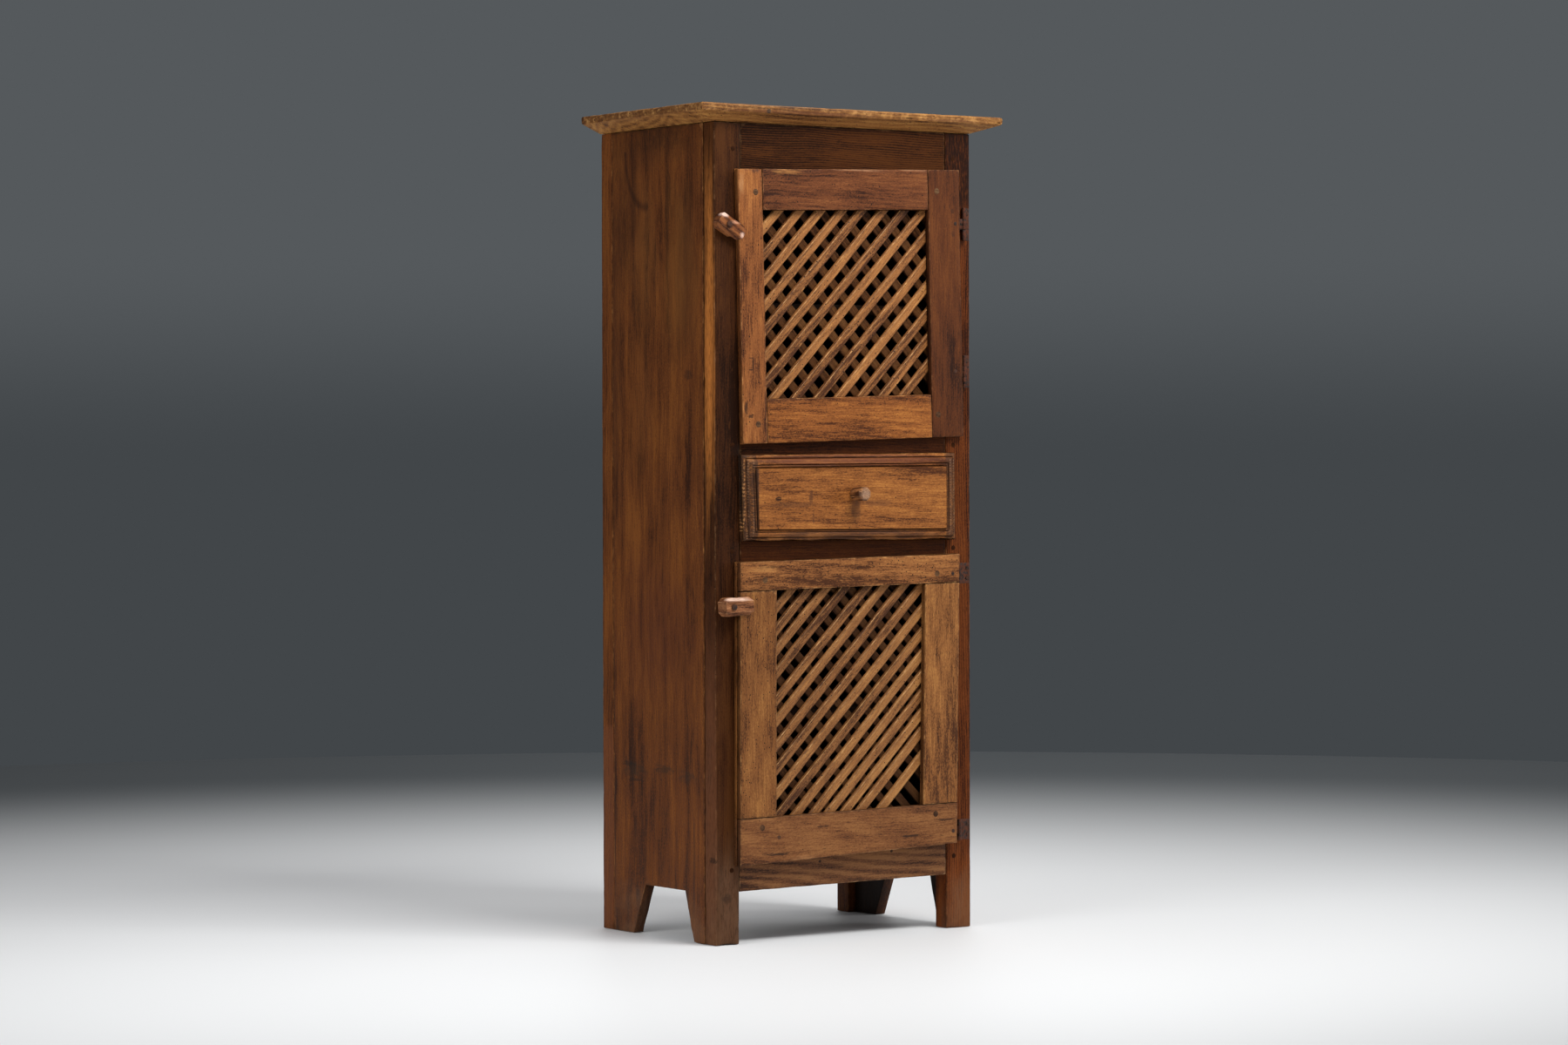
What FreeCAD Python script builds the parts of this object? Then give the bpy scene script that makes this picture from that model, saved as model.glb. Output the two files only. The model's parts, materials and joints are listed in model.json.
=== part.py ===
import FreeCAD, Part
import math
import os

os.makedirs("parts", exist_ok=True)

# A tall, narrow food cupboard of old pine: two lattice doors with a drawer between them.
# Lengths are in millimetres. While it is built, x = 0 is the outside of the left front post,
# y = 0 is the front of the posts, y grows to the back and z = 0 is the floor.

# Carcass, outside
carcass_width = 568.0
carcass_depth = 377.0
board_thickness = 22.0

# Front frame, from the floor up
foot_gap_left = 94.0
foot_gap_right = 99.5
bottom_rail_top = 168.0
lower_opening_height = 510.0
rail_below_drawer_height = 52.0
drawer_opening_height = 140.0
rail_above_drawer_height = 48.0
upper_opening_height = 457.0
top_rail_height = 95.0

left_post_foot_width = 51.0
left_post_head_width = 58.0
right_post_width = 56.0
front_post_depth = 35.0
rail_setback = 1.5
rail_thickness = 24.0
rear_post_width = 38.0
rear_post_depth = 37.0
rear_rail_thickness = 20.0
rear_rail_height = 70.0
rear_bottom_rail_up = 110.0

# Joints of the carcass
tenon_thickness = 9.0
tenon_length = 32.0
tenon_shoulder = 8.0
tongue_thickness = 8.0
tongue_depth = 8.0
carcass_peg_radius = 4.5
carcass_peg_inset = 17.0

# Top board
top_thickness = 31.0
top_edge_thickness = 14.0
top_edge_round = 4.5
overhang_left = 41.7
overhang_front = 25.4
overhang_right = 57.5
overhang_back = 1.8

# Arch cut in the foot of each side board, measured from the front of the posts
arch_height = 91.0
arch_top_front = 100.0
arch_top_back = 232.0
arch_toe_front = 74.0
arch_toe_back = 272.0

# Back boards
back_thickness = 12.0
back_board_gap = 0.6
back_board_start = 104.0
back_middle_share = 0.38

# Floors and shelves
floor_thickness = 18.0
shelf_thickness = 17.0
ceiling_thickness = 15.0
floor_step = 2.0
shelf_setback = 6.0
cleat_width = 18.0
cleat_height = 22.0
cleat_end_gap = 8.0
upper_shelf_height = 232.0
lower_shelf_height = 252.0
board_play = 0.5

# Iron fastenings
nail_radius = 1.9
nail_head_radius = 4.2
nail_head_thickness = 1.6
nail_length = 46.0
back_nail_length = 30.0
back_nail_inset = 23.0
top_nail_front_shares = (0.18, 0.46, 0.83)
top_nail_back_share = 0.46
top_nail_side_shares = (0.36, 0.68)

# Both doors
door_gap = 0.3
door_core_play = 4.0
lattice_rebate = 12.0
lattice_recess = 11.0
slat_thickness = 6.6
door_tenon_thickness = 6.5
door_tenon_length = 33.0
door_tenon_shoulder = 9.0
door_peg_radius = 5.6

# Upper door: how far it laps over the frame at each corner
upper_proud = 11.0
upper_thickness = 24.0
upper_lap_left_top = 13.6
upper_lap_left_bottom = 0.6
upper_lap_right_top = 24.0
upper_lap_right_bottom = 34.0
upper_lap_up_left = 11.5
upper_lap_up_right = 27.0
upper_lap_down_left = 23.0
upper_lap_down_right = 8.5
upper_left_stile = 53.0
upper_right_stile = 72.0
upper_top_rail = 74.5
upper_bottom_rail = 80.0
upper_slat_angle = 46.0
upper_front_pitch = 33.0
upper_front_slat = 16.4
upper_back_pitch = 33.0
upper_back_slat = 16.5

# Lower door
lower_proud = 20.0
lower_thickness = 25.0
lower_lap_left_top = 12.3
lower_lap_left_bottom = 11.7
lower_lap_right_top = 17.5
lower_lap_right_bottom = 10.5
lower_lap_up_left = 7.0
lower_lap_up_right = 15.5
lower_lap_down_left = 26.5
lower_lap_down_right = 9.0
lower_left_stile = 79.0
lower_right_stile = 78.5
lower_top_rail = 53.0
lower_bottom_rail_left = 84.5
lower_bottom_rail_right = 75.5
lower_slat_angle = 45.0
lower_front_pitch = 28.4
lower_front_slat = 16.2
lower_back_pitch = 27.5
lower_back_slat = 15.5

# How far the hand-cut slats stray from an even spacing, as shares of the pitch, from the
# lower right corner to the upper left for the front ones, and lower left to upper right behind
upper_front_stray_shares = (-0.36, -0.36, -0.36, -0.3, -0.33, -0.27, -0.21, -0.27, -0.27, -0.27,
                            -0.33, -0.33, -0.36, -0.36)
upper_back_stray_shares = (0.36, 0.42, 0.39, 0.3, 0.33, 0.21, 0.27, 0.24, 0.27, 0.39, 0.45, 0.39,
                           0.52, 0.39, 0.42, 0.45)
lower_front_stray_shares = (0.08, 0.21, 0.05, -0.07, -0.22, -0.27, -0.29, -0.23, -0.14, -0.08,
                            0.01, -0.04, 0.16, 0.18, 0.1, 0.08)
lower_back_stray_shares = (0.04, 0.13, -0.07, -0.05, 0.04, 0.24, 0.29, 0.35, 0.62, 0.67, 0.65, 0.64,
                           0.51, 0.42, 0.29, 0.27, 0.0)
# Where each layer starts, in whole pitches from the middle of its opening
upper_front_first = -6
upper_back_first = -8
lower_front_first = -7
lower_back_first = -8

# The pegs of each door, in its corner squares: how far in from the outer corner and how far
# along, for the top left, top right, bottom left and bottom right corners
upper_peg_across_shares = (0.7, 0.73, 0.63, 0.8)
upper_peg_along_shares = (0.56, 0.54, 0.44, 0.52)
lower_peg_across_shares = (0.67, 0.66, 0.6, 0.64)
lower_peg_along_shares = (0.64, 0.66, 0.78, 0.76)

# Hinges: three-knuckle iron butts with a loose pin
hinge_pin_radius = 2.0
hinge_running_gap = 0.05
knuckle_radius = 4.2
knuckle_gap = 0.3
leaf_thickness = 1.8
leaf_length = 34.0
upper_hinge_height = 60.0
lower_hinge_height = 38.0
upper_hinge_in = 17.0
upper_hinge_forward = 5.4
lower_hinge_in = 31.0
lower_hinge_forward = 6.0
# Each hinge's lower end: how far above the opening's foot, or below its head
upper_hinge_rise = 82.0
upper_hinge_drop = 103.0
lower_hinge_rise = -5.0
lower_hinge_drop = 40.0
hinge_nail_radius = 1.5
hinge_nail_head = 3.6
hinge_nail_inset = 10.0
post_nail_inset = 6.8

# Wooden turn-buttons on the left post
button_play = 0.3
button_lap_gap = 0.6
button_nail_radius = 2.2
button_hole_play = 0.1
button_nail_head = 5.2
button_nail_head_thickness = 2.6
upper_button_along = 20.0
upper_button_down = 88.0
upper_button_thickness = 19.0
upper_button_heel = 21.5
upper_button_nose = 38.0
upper_button_step = 17.5
upper_button_half_width = 16.0
upper_button_chamfer = 7.5
upper_button_angle = -29.0
lower_button_along = 22.3
lower_button_down = 73.0
lower_button_thickness = 28.5
lower_button_heel = 16.5
lower_button_nose = 43.0
lower_button_step = 8.0
lower_button_half_width = 16.7
lower_button_chamfer = 7.0
lower_button_angle = 3.0

# Drawer
drawer_proud = 11.0
field_proud = 23.5
moulding_left = 26.0
moulding_right = 28.0
moulding_top = 25.0
moulding_bottom = 21.0
# From the outer edge to the field: how far in and how far forward each line of the moulding is
moulding_profile_shares = ((0.0, 0.0), (0.07, 0.22), (0.28, 0.36), (0.32, 0.6), (0.6, 0.8),
                           (0.8, 0.84), (0.86, 0.58), (0.999, 0.64), (1.0, 1.0))
drawer_lap_left_top = 5.2
drawer_lap_left_bottom = 0.2
drawer_lap_right = 13.0
drawer_lap_up_left = 6.0
drawer_lap_up_right = 10.0
drawer_lap_down_left = 8.0
drawer_lap_down_right = 10.5
drawer_plug = 10.0
drawer_play = 3.0
drawer_back_space = 47.0
drawer_side_thickness = 12.0
drawer_side_height = 134.0
drawer_side_lift = 0.9
runner_gap = 0.3
drawer_bottom_thickness = 8.0
drawer_bottom_up = 9.0
drawer_groove = 4.0
drawer_back_inset = 6.0
drawer_back_drop = 10.0
drawer_nail_length = 28.0
drawer_nail_inset = 12.0
guide_gap = 1.5
runner_height = 24.0
runner_width = 56.0
guide_height = 30.0
knob_radius = 14.0
knob_length = 33.0
knob_neck_radius = 13.0
knob_crown = 4.5
knob_shank_radius = 6.5
knob_along_share = 0.507
knob_up_share = 0.54
knob_facets = 8

overrun = 5.0

V = FreeCAD.Vector
UP = V(0, 0, 1)
BACK = V(0, 1, 0)

# Heights of the frame, worked out from the floor up
lower_top = bottom_rail_top + lower_opening_height
drawer_bottom_z = lower_top + rail_below_drawer_height
drawer_top_z = drawer_bottom_z + drawer_opening_height
upper_bottom = drawer_top_z + rail_above_drawer_height
upper_top = upper_bottom + upper_opening_height
carcass_height = upper_top + top_rail_height

right_edge = carcass_width - right_post_width
rail_back = rail_setback + rail_thickness
rear_post_front = carcass_depth - rear_post_depth
back_front = carcass_depth - back_thickness
rear_rail_front = back_front - rear_rail_thickness
inner_left = board_thickness
inner_right = carcass_width - board_thickness

shift_x = (carcass_width + overhang_right - overhang_left) / 2
front_reach = field_proud + knob_length
shift_y = (carcass_depth + overhang_back - front_reach) / 2


def left_edge(z):
    """The inner edge of the left post, which widens a little towards the head."""
    return left_post_foot_width + (left_post_head_width - left_post_foot_width) * z / carcass_height


def block(x0, x1, y0, y1, z0, z1):
    return Part.makeBox(x1 - x0, y1 - y0, z1 - z0, V(x0, y0, z0))


def front_panel(points, y0, y1):
    """A plate from an outline of (x, z) points in the front plane."""
    ring = [V(x, y0, z) for x, z in points]
    face = Part.Face(Part.makePolygon(ring + ring[:1]))
    return face.extrude(V(0, y1 - y0, 0))


def side_panel(points, x0, x1):
    """A plate from an outline of (y, z) points in the side plane."""
    ring = [V(x0, y, z) for y, z in points]
    face = Part.Face(Part.makePolygon(ring + ring[:1]))
    return face.extrude(V(x1 - x0, 0, 0))


def rod_back(x, z, radius, y0, y1):
    """A round rod that runs from front to back."""
    return Part.makeCylinder(radius, y1 - y0, V(x, y0, z), BACK)


def rod_up(x, y, radius, z0, z1):
    return Part.makeCylinder(radius, z1 - z0, V(x, y, z0), UP)


def cut_all(shape, tools):
    for tool in tools:
        shape = shape.cut(tool)
    return shape


def save(name, solids):
    """Moves the solids to the part's own origin, under the middle of its box, and writes them."""
    shape = solids[0] if len(solids) == 1 else Part.makeCompound(solids)
    shape = shape.removeSplitter() if len(solids) == 1 else shape
    shape.translate(V(-shift_x, -shift_y, 0))
    shape.exportStep("parts/" + name + ".step")


# Carcass: front frame

def rail_tenon_parts(y0, y1, left_x, right_x, z0, z1):
    """The two tenons of a rail, inside its thickness and between its shoulders."""
    middle = (y0 + y1) / 2
    front = middle - tenon_thickness / 2
    back = middle + tenon_thickness / 2
    low = z0 + tenon_shoulder
    high = z1 - tenon_shoulder
    left = block(left_x - tenon_length, left_x + tenon_shoulder, front, back, low, high)
    right = block(right_x - tenon_shoulder, right_x + tenon_length, front, back, low, high)
    return [left, right]


def front_rail(low_left, low_right, high):
    """A rail of the front frame with its tenons, and the tenons alone for the mortises."""
    outline = [
        (left_edge(low_left), low_left),
        (right_edge, low_right),
        (right_edge, high),
        (left_edge(high), high),
    ]
    body = front_panel(outline, rail_setback, rail_back)
    low = max(low_left, low_right)
    tenons = rail_tenon_parts(rail_setback, rail_back, left_edge(low), right_edge, low, high)
    return body.fuse(tenons), tenons


def front_posts(all_tenons, pegs, recesses):
    left_outline = [
        (0, 0),
        (left_post_foot_width, 0),
        (left_post_head_width, carcass_height),
        (0, carcass_height),
    ]
    left = front_panel(left_outline, 0, front_post_depth)
    right = block(right_edge, carcass_width, 0, front_post_depth, 0, carcass_height)
    tools = all_tenons + pegs + recesses + side_tongues(front_post_depth - tongue_depth,
                                                        front_post_depth)
    return cut_all(left, tools), cut_all(right, tools)


def side_tongues(y0, y1):
    """The tongues of both side boards between two depths, which the posts' grooves take."""
    inset = (board_thickness - tongue_thickness) / 2
    left = block(inset, inset + tongue_thickness, y0, y1, 0, carcass_height)
    right = block(carcass_width - inset - tongue_thickness, carcass_width - inset, y0, y1, 0,
                  carcass_height)
    return [left, right]


def carcass_pegs(rail_spans):
    """One peg through each tenon of the front rails, near the edge of the post."""
    middle = rail_setback + rail_thickness / 2
    pegs = []
    for low, high in rail_spans:
        z = (low + high) / 2
        for x in (left_edge(z) - carcass_peg_inset, right_edge + carcass_peg_inset):
            pegs.append(rod_back(x, z, carcass_peg_radius, 0, middle + tenon_thickness))
    return pegs


# Carcass: sides, back and rear frame

def side_board(x0, x1):
    outline = [
        (front_post_depth, 0),
        (arch_toe_front, 0),
        (arch_top_front, arch_height),
        (arch_top_back, arch_height),
        (arch_toe_back, 0),
        (rear_post_front, 0),
        (rear_post_front, carcass_height),
        (front_post_depth, carcass_height),
    ]
    board = side_panel(outline, x0, x1)
    inset = (board_thickness - tongue_thickness) / 2
    for y in (front_post_depth - tongue_depth, rear_post_front):
        tongue = block(x0 + inset, x1 - inset, y, y + tongue_depth, 0, carcass_height)
        board = board.fuse(tongue)
    return board


def rear_posts(all_tenons):
    left = block(0, rear_post_width, rear_post_front, carcass_depth, 0, carcass_height)
    right = block(carcass_width - rear_post_width, carcass_width, rear_post_front, carcass_depth, 0,
                  carcass_height)
    tools = all_tenons + side_tongues(rear_post_front, rear_post_front + tongue_depth)
    return cut_all(left, tools), cut_all(right, tools)


def rear_rail(low):
    high = low + rear_rail_height
    body = block(rear_post_width, carcass_width - rear_post_width, rear_rail_front, back_front,
                 low, high)
    right_x = carcass_width - rear_post_width
    depth = tenon_length - board_thickness + tongue_depth
    middle = (rear_rail_front + back_front) / 2
    front = middle - tenon_thickness / 2
    tenons = []
    for x0, x1 in ((rear_post_width - depth, rear_post_width), (right_x, right_x + depth)):
        tenons.append(block(x0, x1, front, front + tenon_thickness, low + tenon_shoulder,
                            high - tenon_shoulder))
    return body.fuse(tenons), tenons


def back_board_edges():
    """The edges of the three back boards between the rear posts, the middle one widest."""
    first = rear_post_width
    last = carcass_width - rear_post_width
    middle = (last - first) * back_middle_share
    side = (last - first - middle) / 2
    return [(first, first + side), (first + side + back_board_gap, last - side),
            (last - side + back_board_gap, last)]


def headed_nail(x, y, z, direction, length):
    """A nail whose head lies flush in the face at this point, driven along the direction."""
    start = V(x, y, z)
    shank = Part.makeCylinder(nail_radius, length, start, direction)
    head = Part.makeCylinder(nail_head_radius, nail_head_thickness, start, direction)
    return shank.fuse(head)


def top_nails():
    """Nails through the top board: along the front rail, down the sides and into the back rail."""
    roof = carcass_height + top_thickness
    front_y = rail_setback + rail_thickness / 2
    back_y = (rear_rail_front + back_front) / 2
    places = [(carcass_width * share, front_y) for share in top_nail_front_shares]
    places.append((carcass_width * top_nail_back_share, back_y))
    for share in top_nail_side_shares:
        places.append((board_thickness / 2, carcass_depth * share))
        places.append((carcass_width - board_thickness / 2, carcass_depth * share))
    down = V(0, 0, -1)
    return [headed_nail(x, y, roof, down, nail_length + top_thickness) for x, y in places]


def back_nails(edges, rail_lows):
    """Two nails in each back board at each rear rail."""
    nails = []
    forward = V(0, -1, 0)
    for x0, x1 in edges:
        for low in rail_lows:
            z = low + rear_rail_height / 2
            for x in (x0 + back_nail_inset, x1 - back_nail_inset):
                nails.append(headed_nail(x, carcass_depth, z, forward, back_nail_length))
    return nails


# Carcass: floors, shelves and what guides the drawer

def corner_posts(z0, z1):
    """The space that the posts fill between two heights, with a little play around it."""
    reach = board_play
    front = front_post_depth + reach
    back = rear_post_front - reach
    rear_x = rear_post_width + reach
    return [
        block(0, left_post_head_width + reach, 0, front, z0, z1),
        block(right_edge - reach, carcass_width, 0, front, z0, z1),
        block(0, rear_x, back, carcass_depth, z0, z1),
        block(carcass_width - rear_x, carcass_width, back, carcass_depth, z0, z1),
    ]


def inner_board(y0, y1, top, thickness):
    """A floor or shelf between the side boards, notched round the posts."""
    board = block(inner_left, inner_right, y0, y1, top - thickness, top)
    return cut_all(board, corner_posts(top - thickness - overrun, top + overrun))


def cleat_pair(width, top, height):
    """Two strips on the side boards, from the front posts to the rear ones."""
    y0 = front_post_depth + cleat_end_gap
    y1 = rear_post_front - cleat_end_gap
    left = block(inner_left, inner_left + width, y0, y1, top - height, top)
    right = block(inner_right - width, inner_right, y0, y1, top - height, top)
    return [left, right]


# Doors

def along(p, q, distance):
    """The point at a distance from p on the way to q, in the front plane."""
    length = math.hypot(q[0] - p[0], q[1] - p[1])
    share = distance / length
    return (p[0] + (q[0] - p[0]) * share, p[1] + (q[1] - p[1]) * share)


def meeting(p, q, r, s):
    """Where the line through p and q meets the line through r and s, in the front plane."""
    run = (q[0] - p[0], q[1] - p[1])
    other = (s[0] - r[0], s[1] - r[1])
    cross = run[0] * other[1] - run[1] * other[0]
    share = ((r[0] - p[0]) * other[1] - (r[1] - p[1]) * other[0]) / cross
    return (p[0] + run[0] * share, p[1] + run[1] * share)


def grown(points, by):
    """The outline of four points, listed from the top left clockwise, moved outward."""
    (ax, az), (bx, bz), (cx, cz), (dx, dz) = points
    return [(ax - by, az + by), (bx + by, bz + by), (cx + by, cz - by), (dx - by, dz - by)]


class Door:
    """One framed lattice door, from the corners of its face and the sizes of its members."""

    def __init__(self, corners, proud, thickness, bottom, top, through_rails):
        self.top_left, self.top_right, self.bottom_right, self.bottom_left = corners
        self.front = -proud
        self.back = thickness - proud
        self.through_rails = through_rails
        self.core = block(left_edge(top) + door_core_play, right_edge - door_core_play, -door_gap,
                          self.back, bottom + door_core_play, top - door_core_play)
        self.lattice_front = self.front + lattice_recess

    def set_members(self, left_stile, right_stile, top_rail, bottom_rail_left, bottom_rail_right):
        """Works out the corners of the opening and of each member."""
        tl, tr, br, bl = self.top_left, self.top_right, self.bottom_right, self.bottom_left
        left_top = along(tl, tr, left_stile)
        right_top = along(tr, tl, right_stile)
        left_low = along(bl, br, left_stile)
        right_low = along(br, bl, right_stile)
        edge_tl = along(tl, bl, top_rail)
        edge_tr = along(tr, br, top_rail)
        edge_bl = along(bl, tl, bottom_rail_left)
        edge_br = along(br, tr, bottom_rail_right)
        hole_tl = meeting(edge_tl, edge_tr, left_top, left_low)
        hole_tr = meeting(edge_tl, edge_tr, right_top, right_low)
        hole_bl = meeting(edge_bl, edge_br, left_top, left_low)
        hole_br = meeting(edge_bl, edge_br, right_top, right_low)
        self.hole = [hole_tl, hole_tr, hole_br, hole_bl]
        if self.through_rails:
            self.members = {
                "top_rail": [tl, tr, edge_tr, edge_tl],
                "bottom_rail": [edge_bl, edge_br, br, bl],
                "left_stile": [edge_tl, hole_tl, hole_bl, edge_bl],
                "right_stile": [hole_tr, edge_tr, edge_br, hole_br],
            }
        else:
            self.members = {
                "left_stile": [tl, left_top, left_low, bl],
                "right_stile": [right_top, tr, br, right_low],
                "top_rail": [left_top, right_top, hole_tr, hole_tl],
                "bottom_rail": [hole_bl, hole_br, right_low, left_low],
            }

    def tenons(self, rebate):
        """The tenons of the pieces that run between the others, in the middle of the lip."""
        inner = ("left_stile", "right_stile") if self.through_rails else ("top_rail", "bottom_rail")
        y0 = (self.front - door_gap - door_tenon_thickness) / 2
        plates = {}
        for name in inner:
            tl, tr, br, bl = self.members[name]
            if self.through_rails:
                ends = [(tl, tr, bl, br), (bl, br, tl, tr)]
            else:
                ends = [(tl, bl, tr, br), (tr, br, tl, bl)]
            plates[name] = []
            for a, b, far_a, far_b in ends:
                a_in = along(a, b, door_tenon_shoulder)
                b_in = along(b, a, door_tenon_shoulder)
                a_out = along(a_in, along(far_a, far_b, door_tenon_shoulder), -door_tenon_length)
                b_out = along(b_in, along(far_b, far_a, door_tenon_shoulder), -door_tenon_length)
                outline = [a_in, a_out, b_out, b_in]
                plate = front_panel(outline, y0, y0 + door_tenon_thickness)
                plates[name].append(plate.cut(rebate))
        return plates

    def pegs(self, places):
        return [rod_back(x, z, door_peg_radius, self.front, -door_gap) for x, z in places]

    def frame(self, peg_places, leaf_slots, nails):
        """The four members, cut for the lattice, the tenons, the pegs and the hinge leaves."""
        rebate = front_panel(grown(self.hole, lattice_rebate), self.lattice_front,
                             self.back + overrun)
        plates = self.tenons(rebate)
        pegs = self.pegs(peg_places)
        pieces = {}
        for name, outline in self.members.items():
            lip = front_panel(outline, self.front, -door_gap)
            core = front_panel(outline, -door_gap, self.back).common(self.core)
            piece = lip.fuse(core).cut(rebate)
            if name in plates:
                piece = piece.fuse(plates[name])
            else:
                for others in plates.values():
                    piece = cut_all(piece, others)
            pieces[name] = cut_all(piece, pegs + leaf_slots + nails)
        return pieces, pegs

    def slats(self, angle, pitch, width, strays, first, y0):
        """One layer of slats: even strips at an angle, cut off at the edge of the rebate."""
        xs = [p[0] for p in self.hole]
        zs = [p[1] for p in self.hole]
        centre = (sum(xs) / len(xs), sum(zs) / len(zs))
        reach = max(xs) - min(xs) + max(zs) - min(zs)
        run = (math.cos(math.radians(angle)), math.sin(math.radians(angle)))
        across = (-run[1], run[0])
        bed = front_panel(grown(self.hole, lattice_rebate), y0, y0 + slat_thickness)
        strips = []
        for index, stray in enumerate(strays):
            offset = (first + index + stray) * pitch
            outline = []
            for side, end in ((-1, -1), (-1, 1), (1, 1), (1, -1)):
                x = centre[0] + across[0] * (offset + side * width / 2) + run[0] * end * reach
                z = centre[1] + across[1] * (offset + side * width / 2) + run[1] * end * reach
                outline.append((x, z))
            strip = front_panel(outline, y0, y0 + slat_thickness).common(bed)
            strips += strip.Solids
        return strips


def upper_door():
    bottom, top = upper_bottom, upper_top
    high_left = top + upper_lap_up_left
    high_right = top + upper_lap_up_right
    low_left = bottom - upper_lap_down_left
    low_right = bottom - upper_lap_down_right
    corners = [
        (left_edge(high_left) - upper_lap_left_top, high_left),
        (right_edge + upper_lap_right_top, high_right),
        (right_edge + upper_lap_right_bottom, low_right),
        (left_edge(low_left) - upper_lap_left_bottom, low_left),
    ]
    door = Door(corners, upper_proud, upper_thickness, bottom, top, False)
    door.set_members(upper_left_stile, upper_right_stile, upper_top_rail, upper_bottom_rail,
                     upper_bottom_rail)
    return door


def lower_door():
    bottom, top = bottom_rail_top, lower_top
    high_left = top + lower_lap_up_left
    high_right = top + lower_lap_up_right
    low_left = bottom - lower_lap_down_left
    low_right = bottom - lower_lap_down_right
    corners = [
        (left_edge(high_left) - lower_lap_left_top, high_left),
        (right_edge + lower_lap_right_top, high_right),
        (right_edge + lower_lap_right_bottom, low_right),
        (left_edge(low_left) - lower_lap_left_bottom, low_left),
    ]
    door = Door(corners, lower_proud, lower_thickness, bottom, top, True)
    door.set_members(lower_left_stile, lower_right_stile, lower_top_rail, lower_bottom_rail_left,
                     lower_bottom_rail_right)
    return door


def peg_places(door, across_shares, up_shares):
    """The pegs lie in the corner squares of the frame, at a share across and a share down."""
    corners = (door.top_left, door.top_right, door.bottom_left, door.bottom_right)
    hole = (door.hole[0], door.hole[1], door.hole[3], door.hole[2])
    places = []
    for outer, inner, across, up in zip(corners, hole, across_shares, up_shares):
        places.append((outer[0] + (inner[0] - outer[0]) * across,
                       outer[1] + (inner[1] - outer[1]) * up))
    return places


# Hinges

def knuckle(x, y, z0, z1):
    bore = hinge_pin_radius + hinge_running_gap
    barrel = rod_up(x, y, knuckle_radius, z0, z1)
    return barrel.cut(rod_up(x, y, bore, z0 - overrun, z1 + overrun))


class Hinge:
    """One butt hinge: a door leaf in the edge of the stile and a post leaf let into the post."""

    def __init__(self, x, forward, low, height):
        self.x = x
        self.y = -forward
        self.low = low
        self.height = height
        self.span = height / 3

    def door_leaf(self):
        z0 = self.low + self.span + knuckle_gap
        z1 = self.low + 2 * self.span - knuckle_gap
        bore = hinge_pin_radius + hinge_running_gap
        plate = block(self.x - leaf_length, self.x - bore - leaf_thickness / 2,
                      self.y - leaf_thickness / 2, self.y + leaf_thickness / 2, z0, z1)
        return knuckle(self.x, self.y, z0, z1).fuse(plate)

    def door_slot(self):
        z0 = self.low + self.span + knuckle_gap
        z1 = self.low + 2 * self.span - knuckle_gap
        return block(self.x - leaf_length, self.x, self.y - leaf_thickness / 2,
                     self.y + leaf_thickness / 2, z0, z1)

    def door_nail(self, face):
        x = self.x - leaf_length + hinge_nail_inset
        z = self.low + self.height / 2
        shank = rod_back(x, z, hinge_nail_radius, face, -door_gap)
        return shank.fuse(rod_back(x, z, hinge_nail_head, face, face + leaf_thickness / 2))

    def post_leaf(self):
        bore = hinge_pin_radius + hinge_running_gap
        pieces = []
        for z0 in (self.low, self.low + 2 * self.span + knuckle_gap):
            z1 = z0 + self.span - knuckle_gap
            web = block(self.x + bore, self.x + knuckle_radius, self.y, leaf_thickness, z0, z1)
            pieces.append(knuckle(self.x, self.y, z0, z1).fuse(web))
        return pieces[0].fuse([pieces[1], self.post_plate()])

    def post_plate(self):
        x0 = self.x + hinge_pin_radius
        x1 = carcass_width - leaf_thickness
        return block(x0, x1, 0, leaf_thickness, self.low, self.low + self.height)

    def post_nails(self):
        x = carcass_width - post_nail_inset
        nails = []
        for z in (self.low + hinge_nail_inset, self.low + self.height - hinge_nail_inset):
            shank = rod_back(x, z, hinge_nail_radius, -leaf_thickness / 2, rail_back)
            head = rod_back(x, z, hinge_nail_head, -leaf_thickness / 2, 0)
            nails.append(shank.fuse(head))
        return nails

    def pin(self):
        return rod_up(self.x, self.y, hinge_pin_radius, self.low, self.low + self.height)


# Turn-buttons

def turn_button(x, z, thickness, heel, nose, step, half_width, chamfer, angle, door_face):
    """A chamfered block on a nail: thick against the post, thin where it laps over the door."""
    outline = [
        (-heel, -half_width + chamfer),
        (-heel + chamfer, -half_width),
        (nose - chamfer, -half_width),
        (nose, -half_width + chamfer),
        (nose, half_width - chamfer),
        (nose - chamfer, half_width),
        (-heel + chamfer, half_width),
        (-heel, half_width - chamfer),
    ]
    solid = front_panel(outline, -thickness, -button_play)
    notch = block(step, nose + overrun, door_face - button_lap_gap, overrun,
                  -half_width - overrun, half_width + overrun)
    solid = solid.cut(notch)
    face = -thickness
    for side in (-1, 1):
        wedge = Part.Face(Part.makePolygon([
            V(-heel - overrun, face, side * half_width),
            V(-heel - overrun, face, side * (half_width - chamfer)),
            V(-heel - overrun, face + chamfer, side * half_width),
            V(-heel - overrun, face, side * half_width),
        ])).extrude(V(heel + nose + 2 * overrun, 0, 0))
        solid = solid.cut(wedge)
    hole = rod_back(0, 0, button_nail_radius + button_hole_play, -thickness - overrun, overrun)
    solid = solid.cut(hole)
    solid.rotate(V(0, 0, 0), BACK, -angle)
    solid.translate(V(x, 0, z))
    return solid


def button_nail(x, z, thickness):
    """The iron nail that the button turns on, driven into the post."""
    face = -thickness - button_hole_play
    shank = rod_back(x, z, button_nail_radius, face, rail_back)
    head = rod_back(x, z, button_nail_head, face - button_nail_head_thickness, face)
    return shank.fuse(head)


# Drawer

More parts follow.
